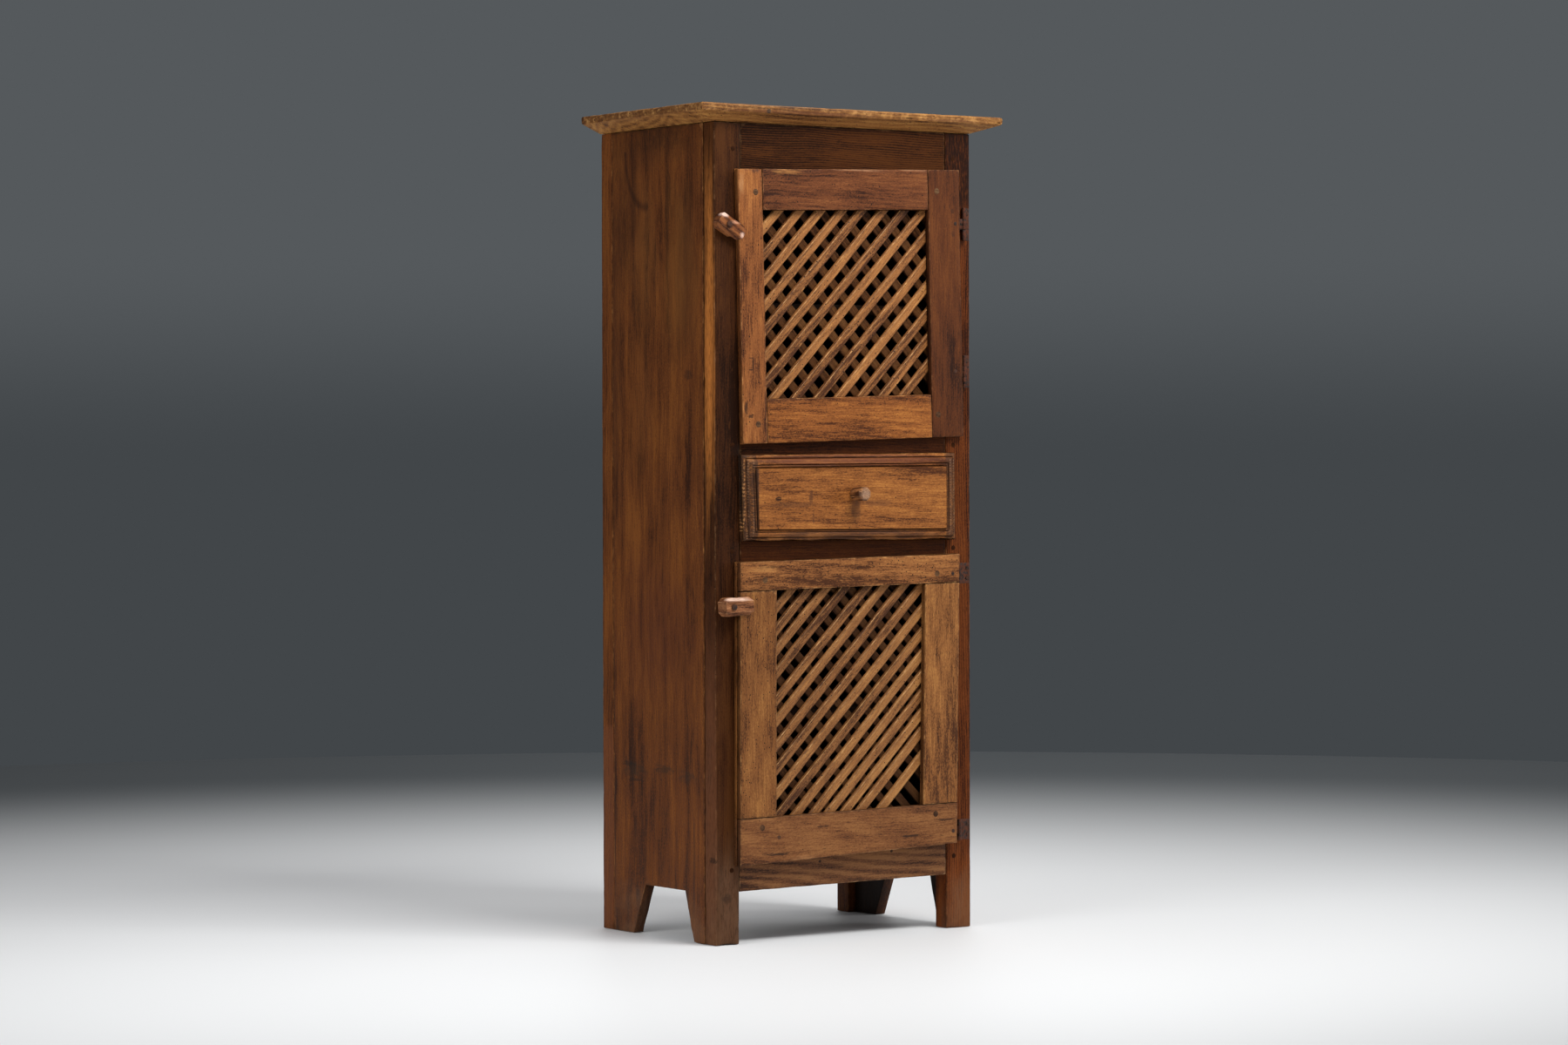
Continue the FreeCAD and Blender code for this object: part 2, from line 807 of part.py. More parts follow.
def drawer_front():
    high_left = drawer_top_z + drawer_lap_up_left
    high_right = drawer_top_z + drawer_lap_up_right
    low_left = drawer_bottom_z - drawer_lap_down_left
    low_right = drawer_bottom_z - drawer_lap_down_right
    right_x = right_edge + drawer_lap_right
    outer = [
        (left_edge(high_left) - drawer_lap_left_top, high_left),
        (right_x, high_right),
        (right_x, low_right),
        (left_edge(low_left) - drawer_lap_left_bottom, low_left),
    ]
    (ax, az), (bx, bz), (cx, cz), (dx, dz) = outer
    field = [
        (ax + moulding_left, az - moulding_top),
        (bx - moulding_right, bz - moulding_top),
        (cx - moulding_right, cz + moulding_bottom),
        (dx + moulding_left, dz + moulding_bottom),
    ]
    flange = front_panel(outer, -drawer_proud, -door_gap)
    rings = []
    for inward, forward in moulding_profile_shares:
        y = -drawer_proud - (field_proud - drawer_proud) * forward
        ring = [V(x0 + (x1 - x0) * inward, y, z0 + (z1 - z0) * inward)
                for (x0, z0), (x1, z1) in zip(outer, field)]
        rings.append(Part.makePolygon(ring + ring[:1]))
    rising = Part.makeLoft(rings, True, True)
    plug = block(drawer_x0 + drawer_side_thickness, drawer_x1 - drawer_side_thickness, -door_gap,
                 drawer_plug, drawer_side_z0, drawer_side_z1)
    groove = block(drawer_x0, drawer_x1, drawer_groove, drawer_plug + overrun, bottom_z0, bottom_z1)
    knob_x = ax + (bx - ax) * knob_along_share
    knob_z = dz + (az - dz) * knob_up_share
    hole = rod_back(knob_x, knob_z, knob_shank_radius, -field_proud - overrun,
                    drawer_plug + overrun)
    return flange.fuse([rising, plug]).cut(groove).cut(hole), knob_x, knob_z


def knob(x, z):
    """A whittled eight-sided peg with a softened head and a round shank through the front."""
    def ring(radius, y):
        points = []
        for index in range(knob_facets + 1):
            turn = 2 * math.pi * (index % knob_facets + 1 / 2) / knob_facets
            points.append(V(x + radius * math.cos(turn), y, z + radius * math.sin(turn)))
        return Part.makePolygon(points)

    base = -field_proud
    rings = [
        ring(knob_neck_radius, base),
        ring(knob_radius, base - knob_length + 2 * knob_crown),
        ring(knob_radius, base - knob_length + knob_crown),
        ring(knob_neck_radius - knob_crown / 2, base - knob_length),
    ]
    body = Part.makeLoft(rings, True, True)
    return body.fuse(rod_back(x, z, knob_shank_radius, base, drawer_plug))


drawer_x0 = left_edge(drawer_top_z) + drawer_play
drawer_x1 = right_edge - drawer_play
drawer_side_z0 = drawer_bottom_z + drawer_side_lift
drawer_side_z1 = drawer_side_z0 + drawer_side_height
bottom_z0 = drawer_side_z0 + drawer_bottom_up
bottom_z1 = bottom_z0 + drawer_bottom_thickness
drawer_end = carcass_depth - drawer_back_space - door_gap


def drawer_sides():
    groove = block(drawer_x0 + drawer_side_thickness - drawer_groove,
                   drawer_x1 - drawer_side_thickness + drawer_groove, -overrun,
                   drawer_end + overrun, bottom_z0, bottom_z1)
    left = block(drawer_x0, drawer_x0 + drawer_side_thickness, -door_gap, drawer_end,
                 drawer_side_z0, drawer_side_z1)
    right = block(drawer_x1 - drawer_side_thickness, drawer_x1, -door_gap, drawer_end,
                  drawer_side_z0, drawer_side_z1)
    return left.cut(groove), right.cut(groove)


def drawer_back():
    y1 = drawer_end - drawer_back_inset
    return block(drawer_x0 + drawer_side_thickness, drawer_x1 - drawer_side_thickness,
                 y1 - drawer_side_thickness, y1, bottom_z1, drawer_side_z1 - drawer_back_drop)


def drawer_bottom():
    return block(drawer_x0 + drawer_side_thickness - drawer_groove,
                 drawer_x1 - drawer_side_thickness + drawer_groove, drawer_groove, drawer_end,
                 bottom_z0, bottom_z1)


def drawer_nails():
    """Nails through the sides into the front's plug and into the back board."""
    nails = []
    back_y = drawer_end - drawer_back_inset - drawer_side_thickness / 2
    low = bottom_z1 + drawer_nail_inset
    high = drawer_side_z1 - drawer_back_drop - drawer_nail_inset
    for y in (drawer_plug / 2, back_y):
        for z in (low, high):
            for x, direction in ((drawer_x0, V(1, 0, 0)), (drawer_x1, V(-1, 0, 0))):
                place = V(x, y, z)
                shank = Part.makeCylinder(hinge_nail_radius, drawer_nail_length, place, direction)
                head = Part.makeCylinder(hinge_nail_head, leaf_thickness / 2, place, direction)
                nails.append(shank.fuse(head))
    return nails


def build_top():
    x0 = -overhang_left
    x1 = carcass_width + overhang_right
    y0 = -overhang_front
    y1 = carcass_depth + overhang_back
    low = carcass_height
    high = low + top_thickness
    nose = high - top_edge_thickness
    slab = block(x0, x1, y0, y1, low, high)
    left = front_panel([(x0 - overrun, low - overrun), (0, low - overrun), (0, low), (x0, nose),
                        (x0 - overrun, nose)], y0 - overrun, y1 + overrun)
    right = front_panel([(x1 + overrun, low - overrun), (x1 + overrun, nose), (x1, nose),
                         (carcass_width, low), (carcass_width, low - overrun)],
                        y0 - overrun, y1 + overrun)
    front = side_panel([(y0 - overrun, low - overrun), (0, low - overrun), (0, low), (y0, nose),
                        (y0 - overrun, nose)], x0 - overrun, x1 + overrun)
    slab = slab.cut(left).cut(right).cut(front)
    rim = []
    for edge in slab.Edges:
        middle = edge.CenterOfMass
        on_left = abs(middle.x - x0) < top_edge_round
        on_right = abs(middle.x - x1) < top_edge_round
        on_front = abs(middle.y - y0) < top_edge_round
        level = abs(edge.Vertexes[0].Z - edge.Vertexes[-1].Z) < top_edge_round
        if (on_left or on_right or on_front) and level:
            rim.append(edge)
    return slab.makeFillet(top_edge_round, rim)


def build_carcass(hinges):
    top_rail, top_tenons = front_rail(upper_top, upper_top, carcass_height)
    above, above_tenons = front_rail(drawer_top_z, drawer_top_z, upper_bottom)
    below, below_tenons = front_rail(lower_top, lower_top, drawer_bottom_z)
    bottom, bottom_tenons = front_rail(foot_gap_left, foot_gap_right, bottom_rail_top)
    front_tenons = top_tenons + above_tenons + below_tenons + bottom_tenons
    pegs = carcass_pegs([(upper_top, carcass_height), (drawer_top_z, upper_bottom),
                         (lower_top, drawer_bottom_z), (foot_gap_right, bottom_rail_top)])

    rear_lows = [rear_bottom_rail_up, drawer_top_z, carcass_height - rear_rail_height]
    rear = [rear_rail(low) for low in rear_lows]
    rear_tenons = [tenon for rail, tenons in rear for tenon in tenons]

    roof_nails = top_nails()
    edges = back_board_edges()
    wall_nails = back_nails(edges, rear_lows)
    leaves = [hinge.post_leaf() for hinge in hinges]
    leaf_nails = [nail for hinge in hinges for nail in hinge.post_nails()]
    leaves = [cut_all(leaf, leaf_nails) for leaf in leaves]
    plates = [hinge.post_plate() for hinge in hinges]
    upper_nail = button_nail(*upper_button_place, upper_button_thickness)
    lower_nail = button_nail(*lower_button_place, lower_button_thickness)

    left_post, right_post = front_posts(front_tenons, pegs + [upper_nail, lower_nail],
                                        plates + leaf_nails)
    left_rear, right_rear = rear_posts(rear_tenons)

    save("top_board", [cut_all(build_top(), roof_nails)])
    save("left_side_board", [cut_all(side_board(0, board_thickness), roof_nails)])
    save("right_side_board", [cut_all(side_board(inner_right, carcass_width), roof_nails)])
    save("left_front_post", [cut_all(left_post, roof_nails)])
    save("right_front_post", [cut_all(right_post, roof_nails)])
    save("left_rear_post", [left_rear])
    save("right_rear_post", [right_rear])
    save("front_top_rail", [cut_all(top_rail, pegs + roof_nails)])
    save("rail_above_drawer", [cut_all(above, pegs)])
    save("rail_below_drawer", [cut_all(below, pegs)])
    save("front_bottom_rail", [cut_all(bottom, pegs)])
    for name, (rail, tenons) in zip(("rear_bottom_rail", "rear_middle_rail", "rear_top_rail"), rear):
        save(name, [cut_all(rail, wall_nails + roof_nails)])
    for name, (x0, x1) in zip(("back_board_left", "back_board_middle", "back_board_right"), edges):
        board = block(x0, x1, back_front, carcass_depth, back_board_start, carcass_height)
        save(name, [cut_all(board, wall_nails)])
    save("carcass_pegs", pegs)
    save("carcass_nails", roof_nails + wall_nails)
    save("hinge_post_leaves", leaves)
    save("hinge_post_nails", leaf_nails)
    save("hinge_pins", [hinge.pin() for hinge in hinges])
    save("upper_button_nail", [upper_nail])
    save("lower_button_nail", [lower_nail])


def build_inside():
    floor_top = bottom_rail_top - floor_step
    upper_floor_top = upper_bottom - floor_step
    ceiling_top = drawer_bottom_z - runner_height
    upper_shelf_top = upper_bottom + upper_shelf_height
    lower_shelf_top = bottom_rail_top + lower_shelf_height
    shelf_front = front_post_depth + shelf_setback

    save("bottom_board", [inner_board(rail_back, rear_rail_front, floor_top, floor_thickness)])
    save("upper_floor", [inner_board(rail_back, rear_rail_front, upper_floor_top, floor_thickness)])
    save("lower_ceiling", [inner_board(rail_back, back_front, ceiling_top, ceiling_thickness)])
    save("upper_shelf", [inner_board(shelf_front, back_front, upper_shelf_top, shelf_thickness)])
    save("lower_shelf", [inner_board(shelf_front, back_front, lower_shelf_top, shelf_thickness)])

    cleats = []
    for top in (floor_top - floor_thickness, ceiling_top - ceiling_thickness,
                upper_shelf_top - shelf_thickness, lower_shelf_top - shelf_thickness):
        cleats += cleat_pair(cleat_width, top, cleat_height)
    save("shelf_cleats", cleats)

    kicker_top = upper_floor_top - floor_thickness
    kicker_height = kicker_top - drawer_side_z1 - drawer_play
    save("drawer_kickers", cleat_pair(runner_width, kicker_top, kicker_height))
    runner_top = drawer_side_z0 - runner_gap
    save("drawer_runners", cleat_pair(runner_width, runner_top, runner_top - ceiling_top))
    left_width = drawer_x0 - guide_gap - inner_left
    right_width = inner_right - drawer_x1 - guide_gap
    left_guide = cleat_pair(left_width, runner_top + guide_height, guide_height)[0]
    right_guide = cleat_pair(right_width, runner_top + guide_height, guide_height)[1]
    save("drawer_guides", [left_guide, right_guide])


def build_door(name, door, hinges, peg_shares, layers):
    slots = [hinge.door_slot() for hinge in hinges]
    nails = [hinge.door_nail(door.front) for hinge in hinges]
    pieces, pegs = door.frame(peg_places(door, *peg_shares), slots, nails)
    for member, shape in pieces.items():
        save(name + "_" + member, [shape])
    y0 = door.lattice_front
    for layer, (angle, pitch, width, strays, first) in layers.items():
        save(name + "_" + layer, door.slats(angle, pitch, width, strays, first, y0))
        y0 += slat_thickness
    save(name + "_pegs", pegs)
    save(name + "_hinge_leaves", [cut_all(hinge.door_leaf(), nails) for hinge in hinges])
    save(name + "_hinge_nails", nails)


def build_drawer():
    front, knob_x, knob_z = drawer_front()
    left, right = drawer_sides()
    back = drawer_back()
    nails = drawer_nails()
    save("drawer_front", [cut_all(front, nails)])
    save("drawer_left_side", [cut_all(left, nails)])
    save("drawer_right_side", [cut_all(right, nails)])
    save("drawer_back", [cut_all(back, nails)])
    save("drawer_bottom", [drawer_bottom()])
    save("drawer_nails", nails)
    save("drawer_knob", [knob(knob_x, knob_z)])


upper_button_place = (upper_button_along, upper_top - upper_button_down)
lower_button_place = (lower_button_along, lower_top - lower_button_down)

upper_hinges = [
    Hinge(carcass_width - upper_hinge_in, upper_hinge_forward, low, upper_hinge_height)
    for low in (upper_bottom + upper_hinge_rise, upper_top - upper_hinge_drop)
]
lower_hinges = [
    Hinge(carcass_width - lower_hinge_in, lower_hinge_forward, low, lower_hinge_height)
    for low in (bottom_rail_top + lower_hinge_rise, lower_top - lower_hinge_drop)
]

build_carcass(upper_hinges + lower_hinges)
build_inside()

upper_layers = {
    "front_slats": (upper_slat_angle, upper_front_pitch, upper_front_slat,
                    upper_front_stray_shares, upper_front_first),
    "back_slats": (-upper_slat_angle, upper_back_pitch, upper_back_slat,
                   upper_back_stray_shares, upper_back_first),
}
lower_layers = {
    "front_slats": (lower_slat_angle, lower_front_pitch, lower_front_slat,
                    lower_front_stray_shares, lower_front_first),
    "back_slats": (-lower_slat_angle, lower_back_pitch, lower_back_slat,
                   lower_back_stray_shares, lower_back_first),
}
upper_peg_shares = (upper_peg_across_shares, upper_peg_along_shares)
lower_peg_shares = (lower_peg_across_shares, lower_peg_along_shares)
build_door("upper_door", upper_door(), upper_hinges, upper_peg_shares, upper_layers)
build_door("lower_door", lower_door(), lower_hinges, lower_peg_shares, lower_layers)
build_drawer()

save("upper_turn_button", [turn_button(
    *upper_button_place, upper_button_thickness, upper_button_heel, upper_button_nose,
    upper_button_step, upper_button_half_width, upper_button_chamfer, upper_button_angle,
    -upper_proud)])
save("lower_turn_button", [turn_button(
    *lower_button_place, lower_button_thickness, lower_button_heel, lower_button_nose,
    lower_button_step, lower_button_half_width, lower_button_chamfer, lower_button_angle,
    -lower_proud)])
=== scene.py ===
import json
import math

import bmesh
import bpy
from mathutils import Matrix, Vector, noise

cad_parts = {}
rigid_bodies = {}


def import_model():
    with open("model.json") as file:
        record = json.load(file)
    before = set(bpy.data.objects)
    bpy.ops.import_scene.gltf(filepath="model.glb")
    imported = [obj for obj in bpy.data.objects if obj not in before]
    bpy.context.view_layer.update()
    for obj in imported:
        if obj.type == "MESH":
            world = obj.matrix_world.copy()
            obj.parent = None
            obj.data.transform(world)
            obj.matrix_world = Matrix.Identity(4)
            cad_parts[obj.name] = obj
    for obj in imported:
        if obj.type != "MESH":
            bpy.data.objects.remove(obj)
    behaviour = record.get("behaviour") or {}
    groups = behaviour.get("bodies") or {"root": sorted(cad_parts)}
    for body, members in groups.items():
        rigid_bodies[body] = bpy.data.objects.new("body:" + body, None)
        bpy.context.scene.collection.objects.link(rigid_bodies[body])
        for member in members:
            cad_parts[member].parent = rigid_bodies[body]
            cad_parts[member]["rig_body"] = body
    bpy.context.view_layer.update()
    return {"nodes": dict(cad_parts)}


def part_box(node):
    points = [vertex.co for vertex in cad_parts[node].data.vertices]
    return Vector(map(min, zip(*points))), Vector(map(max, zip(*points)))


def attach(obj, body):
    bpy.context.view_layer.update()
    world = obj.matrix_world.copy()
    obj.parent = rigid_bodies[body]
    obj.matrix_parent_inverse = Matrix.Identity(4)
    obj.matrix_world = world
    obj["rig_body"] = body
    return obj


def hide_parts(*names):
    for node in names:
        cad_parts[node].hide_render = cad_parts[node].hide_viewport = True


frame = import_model()
nodes = frame["nodes"]

MM = 0.001
X, Y, Z = 0, 1, 2

# Where the carcass starts: the outer front corner of the left post, on the floor
carcass_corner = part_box("left_front_post")[0]


def at(x, y, z):
    """A point measured from the carcass corner in millimetres, as a place in the frame."""
    return carcass_corner + Vector((x, y, z)) * MM


# Colours, as seen on the object under white light

def tone(red, green, blue):
    """An sRGB colour of 0 to 255 as the linear colour that the shaders take."""
    linear = [((c / 255 + 0.055) / 1.055) ** 2.4 if c > 10 else c / 255 / 12.92
              for c in (red, green, blue)]
    return (*linear, 1.0)


# Node building

def add(tree, kind, inputs=None, **settings):
    """A shader node with its settings, and its inputs linked or filled."""
    made = tree.nodes.new("ShaderNode" + kind)
    for name, value in settings.items():
        setattr(made, name, value)
    for name, value in (inputs or {}).items():
        socket = made.inputs[name]
        if isinstance(value, bpy.types.NodeSocket):
            tree.links.new(value, socket)
        else:
            socket.default_value = value
    return made


def math_node(tree, operation, a, b=0.0, clamp=False):
    made = add(tree, "Math", {0: a, 1: b}, operation=operation, use_clamp=clamp)
    return made.outputs[0]


def times(tree, a, b):
    return math_node(tree, "MULTIPLY", a, b)


def plus(tree, a, b):
    return math_node(tree, "ADD", a, b)


def vector_node(tree, operation, a, b=(0, 0, 0)):
    made = add(tree, "VectorMath", {0: a, 1: b}, operation=operation)
    return made.outputs["Value"] if operation in ("LENGTH", "DOT_PRODUCT") else made.outputs[0]


def remap(tree, value, low, high, to_low=0.0, to_high=1.0):
    made = add(tree, "MapRange", {"Value": value, "From Min": low, "From Max": high,
                                  "To Min": to_low, "To Max": to_high},
               interpolation_type="SMOOTHSTEP")
    return made.outputs["Result"]


def mix(tree, factor, a, b):
    """One colour going over into another; 6 and 7 are the node's colour inputs."""
    return add(tree, "Mix", {0: factor, 6: a, 7: b}, data_type="RGBA").outputs[2]


def cloud(tree, place, scale, detail, rough=0.5):
    """Noise stretched by a scale for each direction, in cycles per metre, centred on zero."""
    stretched = vector_node(tree, "MULTIPLY", place, scale)
    made = add(tree, "TexNoise", {"Vector": stretched, "Scale": 1.0, "Detail": detail,
                                  "Roughness": rough})
    return math_node(tree, "SUBTRACT", made.outputs[0], 0.5)


def wood_group():
    """The pattern that every wooden piece shares. Its place has the grain along Z, in metres."""
    tree = bpy.data.node_groups.new("old_wood", "ShaderNodeTree")
    for way, kind, names in (("INPUT", "Vector", "Place Across Grain"),
                             ("INPUT", "Color", "Dark Mid Light Worn"),
                             ("INPUT", "Float", "Rings Figure Streak Blotch Worms Wear"),
                             ("OUTPUT", "Color", "Colour"),
                             ("OUTPUT", "Float", "Roughness Height")):
        for name in names.split():
            tree.interface.new_socket(name, in_out=way, socket_type="NodeSocket" + kind)
    given = tree.nodes.new("NodeGroupInput").outputs
    place = given["Place"]

    # The grain wanders slowly along the board
    drift = add(tree, "TexNoise", {"Vector": vector_node(tree, "MULTIPLY", place, (7, 7, 2.6)),
                                   "Scale": 1.0, "Detail": 2.0})
    drift = vector_node(tree, "SUBTRACT", drift.outputs["Color"], (0.5, 0.5, 0.5))
    drift = vector_node(tree, "MULTIPLY", drift, (0.03, 0.03, 0.0))
    bent = vector_node(tree, "ADD", place, drift)

    # Growth rings, long ellipsoids round a point: arches on some faces, lines on others
    ring_place = vector_node(tree, "ADD", bent, given["Across"])
    ring_place = vector_node(tree, "MULTIPLY", ring_place, (1, 1, 0.035))
    rings = add(tree, "TexWave", {"Vector": ring_place, "Scale": given["Rings"],
                                  "Distortion": 2.4, "Detail": 3.0, "Detail Scale": 0.8},
                wave_type="RINGS", rings_direction="SPHERICAL")
    rings = math_node(tree, "SUBTRACT", rings.outputs["Fac"], 0.5)

    fibres = cloud(tree, bent, (430, 430, 24), 3.0, 0.6)
    specks = cloud(tree, place, (640, 640, 260), 2.0, 0.6)
    streaks = cloud(tree, bent, (42, 42, 1.7), 4.0, 0.6)
    blotches = cloud(tree, place, (17, 17, 5.5), 4.0, 0.6)
    broad = cloud(tree, place, (5, 5, 2.2), 2.0)

    value = times(tree, rings, given["Figure"])
    for pattern, weight in ((fibres, 0.95), (specks, 0.85), (streaks, given["Streak"]),
                            (blotches, given["Blotch"]), (broad, given["Blotch"])):
        value = plus(tree, value, times(tree, pattern, weight))
    tint = add(tree, "Attribute", attribute_name="tint").outputs["Fac"]
    value = plus(tree, value, tint)
    darker = mix(tree, remap(tree, value, -0.37, 0.04), given["Dark"], given["Mid"])
    colour = mix(tree, remap(tree, value, 0.0, 0.37), darker, given["Light"])

    # Short dark pores and pale rubbed flecks lie along the grain
    flecks = cloud(tree, bent, (420, 420, 60), 1.0)
    pores = times(tree, remap(tree, flecks, 0.16, 0.26), 0.6)
    colour = mix(tree, pores, colour, given["Dark"])
    pale = times(tree, remap(tree, flecks, -0.16, -0.26), 0.5)
    colour = mix(tree, pale, colour, given["Light"])

    # End grain is darker, and drinks in the stain
    normal = add(tree, "TexCoord").outputs["Normal"]
    facing = math_node(tree, "ABSOLUTE", vector_node(tree, "DOT_PRODUCT", normal, given["Grain"]))
    end_grain = times(tree, remap(tree, facing, 0.6, 0.85), 0.5)
    colour = mix(tree, end_grain, colour, given["Dark"])

    # Edges are rubbed bare in places and hold grime in others; on the slats this paints a highlight
    # on the upper arris
    edge = add(tree, "Attribute", attribute_name="edge").outputs["Fac"]
    ragged = cloud(tree, place, (85, 85, 60), 3.0, 0.65)
    wear_and_glint = plus(tree, edge, times(tree, ragged, 0.8))
    wear_and_glint = times(tree, remap(tree, wear_and_glint, 0.74, 1.02), given["Wear"])
    colour = mix(tree, wear_and_glint, colour, given["Worn"])
    grime = math_node(tree, "SUBTRACT", times(tree, edge, 0.8), ragged)
    grime = times(tree, remap(tree, grime, 0.4, 0.8), 0.5)
    colour = mix(tree, grime, colour, given["Dark"])

    # Dirt settles in the joints and grooves; on the slats the same value paints shade along the
    # lower edge
    dirt_and_shade = add(tree, "Attribute", attribute_name="dirt_and_shade").outputs["Fac"]
    dirt_and_shade = times(tree, dirt_and_shade, remap(tree, ragged, -0.3, 0.1, 0.45, 1.0))
    soiled = mix(tree, 0.5, given["Dark"], tone(18, 10, 6))
    colour = mix(tree, dirt_and_shade, colour, soiled)

    # Worm holes, in colonies
    cells = add(tree, "TexVoronoi", {"Vector": place, "Scale": 150.0})
    chance = add(tree, "SeparateColor", {"Color": cells.outputs["Color"]})
    colony = plus(tree, 1.0, times(tree, cloud(tree, place, (18, 18, 10), 2.0), 5.0))
    colony = times(tree, colony, given["Worms"])
    chosen = math_node(tree, "LESS_THAN", chance.outputs[0], colony)
    radius = remap(tree, chance.outputs[1], 0.0, 1.0, 0.09, 0.19)
    hole = math_node(tree, "LESS_THAN", cells.outputs["Distance"], radius)
    hole = times(tree, hole, chosen)
    colour = mix(tree, hole, colour, tone(18, 9, 5))

    rough = plus(tree, 0.56, times(tree, fibres, 0.35))
    rough = plus(tree, rough, times(tree, blotches, 0.3))
    rough = math_node(tree, "ADD", rough, times(tree, end_grain, 0.25), clamp=True)

    dents = cloud(tree, place, (45, 45, 22), 3.0)
    height = times(tree, fibres, 0.4)
    for pattern, weight in ((streaks, 0.35), (rings, 0.08), (dents, 0.8), (hole, -1.6)):
        height = plus(tree, height, times(tree, pattern, weight))

    wanted = tree.nodes.new("NodeGroupOutput").inputs
    tree.links.new(colour, wanted["Colour"])
    tree.links.new(rough, wanted["Roughness"])
    tree.links.new(height, wanted["Height"])
    return tree


old_wood = wood_group()

# Turns that bring a grain direction onto Z, for boards along X, Y and Z, and for slats
GRAIN_X = ((1, 0, 0), (0, math.radians(-90), 0))
GRAIN_Y = ((0, 1, 0), (math.radians(90), 0, 0))
GRAIN_Z = ((0, 0, 1), (0, 0, 0))


def slanted_grain(angle):
    """The grain of a slat that rises at this angle in degrees towards the right."""
    turn = math.radians(angle)
    return ((math.cos(turn), 0, math.sin(turn)), (0, turn - math.radians(90), 0))


# The middle tone of each wood, as the photograph shows it
SIDE = (94, 50, 17)
LEFT_POST = (61, 32, 14)
RIGHT_POST = (90, 44, 18)
# RAIL, the top rail's tone, is dark wood with painted shade from the top board's overhang in it
RAIL = (60, 30, 10)
SHADED_RAIL = (62, 30, 11)
BOTTOM_RAIL = (104, 66, 42)
TOP = (144, 96, 54)
# The inside's tone is darkened as a painted shade of the dim, shut cupboard
INSIDE = (42, 26, 16)
BACK = (84, 58, 38)
PEG = (108, 76, 54)
DRAWER_FRONT = (150, 92, 47)
KNOB = (130, 84, 54)


def shades(middle):
    """The dark, middle, light and rubbed tones of a wood. The lamps' sheen adds some blue, so
    less of it goes in."""
    red, green, blue = middle[0], middle[1] * 0.98, middle[2] * 0.86
    return (tone(red * 0.5, green * 0.42, blue * 0.34), tone(red, green, blue),
            tone(min(red * 1.24, 240), min(green * 1.34, 230), min(blue * 1.4, 220)),
            tone(min(red * 1.25 + 34, 244), min(green * 1.35 + 36, 236), min(blue * 1.4 + 34, 226)))


def away_from(tree, point):
    """The shaded place as it lies from a point, which is given in mm from the corner."""
    return vector_node(tree, "SUBTRACT", add(tree, "TexCoord").outputs["Object"], at(*point))


def spot(tree, colour, grain, centre, radii, paint, strength=1.0, ragged=0.35, edge=0.45):
    """A stain, knot or crack: a ragged ellipsoid round a point, painted over the wood. The
    grain, near one, thins the paint in fine specks so that the wood shows through."""
    away = vector_node(tree, "DIVIDE", away_from(tree, centre), tuple(r * MM for r in radii))
    wobble = add(tree, "TexNoise", {"Vector": away, "Scale": 2.2, "Detail": 3.0})
    wobble = vector_node(tree, "SUBTRACT", wobble.outputs["Color"], (0.5, 0.5, 0.5))
    wobble = vector_node(tree, "MULTIPLY", wobble, (ragged * 2,) * 3)
    distance = vector_node(tree, "LENGTH", vector_node(tree, "ADD", away, wobble))
    mask = remap(tree, distance, 1.0, 1.0 - edge)
    mask = times(tree, times(tree, mask, strength), grain)
    return mix(tree, mask, colour, tone(*paint))


def growth_mark(tree, colour, centre, radii, width, paint, strength):
    """A dark growth line: the lower rear quarter of an upright ellipse on a side board."""
    away = away_from(tree, centre)
    part = add(tree, "SeparateXYZ", {"Vector": away}).outputs
    away = vector_node(tree, "MULTIPLY", away, (0, 1 / (radii[0] * MM), 1 / (radii[1] * MM)))
    off = math_node(tree, "SUBTRACT", vector_node(tree, "LENGTH", away), 1.0)
    line = remap(tree, math_node(tree, "ABSOLUTE", off), width, 0.0)
    line = times(tree, line, math_node(tree, "GREATER_THAN", part["Y"], -0.01))
    line = times(tree, line, math_node(tree, "LESS_THAN", part["Z"], 0.0))
    return mix(tree, times(tree, line, strength), colour, tone(*paint))


def tick_row(tree, colour, foot, height, pitch, paint, strength):
    """An upright row of short pale ticks in a moulding, from its foot, sizes in mm."""
    away = away_from(tree, foot)
    part = add(tree, "SeparateXYZ", {"Vector": away}).outputs
    sway = cloud(tree, away, (30, 30, 30), 3.0)
    beside = plus(tree, part["X"], times(tree, sway, 7 * MM))
    beside = remap(tree, math_node(tree, "ABSOLUTE", beside), 1.8 * MM, 0.3 * MM)
    uneven = cloud(tree, away, (140, 140, 90), 2.0)
    beat = plus(tree, part["Z"], times(tree, uneven, 9 * MM))
    beat = remap(tree, math_node(tree, "PINGPONG", beat, pitch * MM / 2), 0.4 * pitch * MM,
                 0.1 * pitch * MM)
    within = times(tree, math_node(tree, "GREATER_THAN", part["Z"], 0.0),
                   math_node(tree, "LESS_THAN", part["Z"], height * MM))
    mask = times(tree, times(tree, beside, beat), within)
    patchy = remap(tree, cloud(tree, away, (45, 45, 25), 2.0), -0.2, 0.12, 0.25, strength)
    return mix(tree, times(tree, mask, patchy), colour, tone(*paint))


def new_material(name):
    """A new material with its node tree and its shader."""
    material = bpy.data.materials.new(name)
    material.use_nodes = True
    tree = material.node_tree
    return material, tree, tree.nodes["Principled BSDF"]


# Each seed moves a piece's wood by this much, in metres, and the pith lies this far beside it
SEED_STEP = (0.731, 0.417, 1.193)
PITH = (0.03, 0.11)

# A wave texture of scale 1 repeats after this length, in metres
WAVE_LENGTH = 0.314


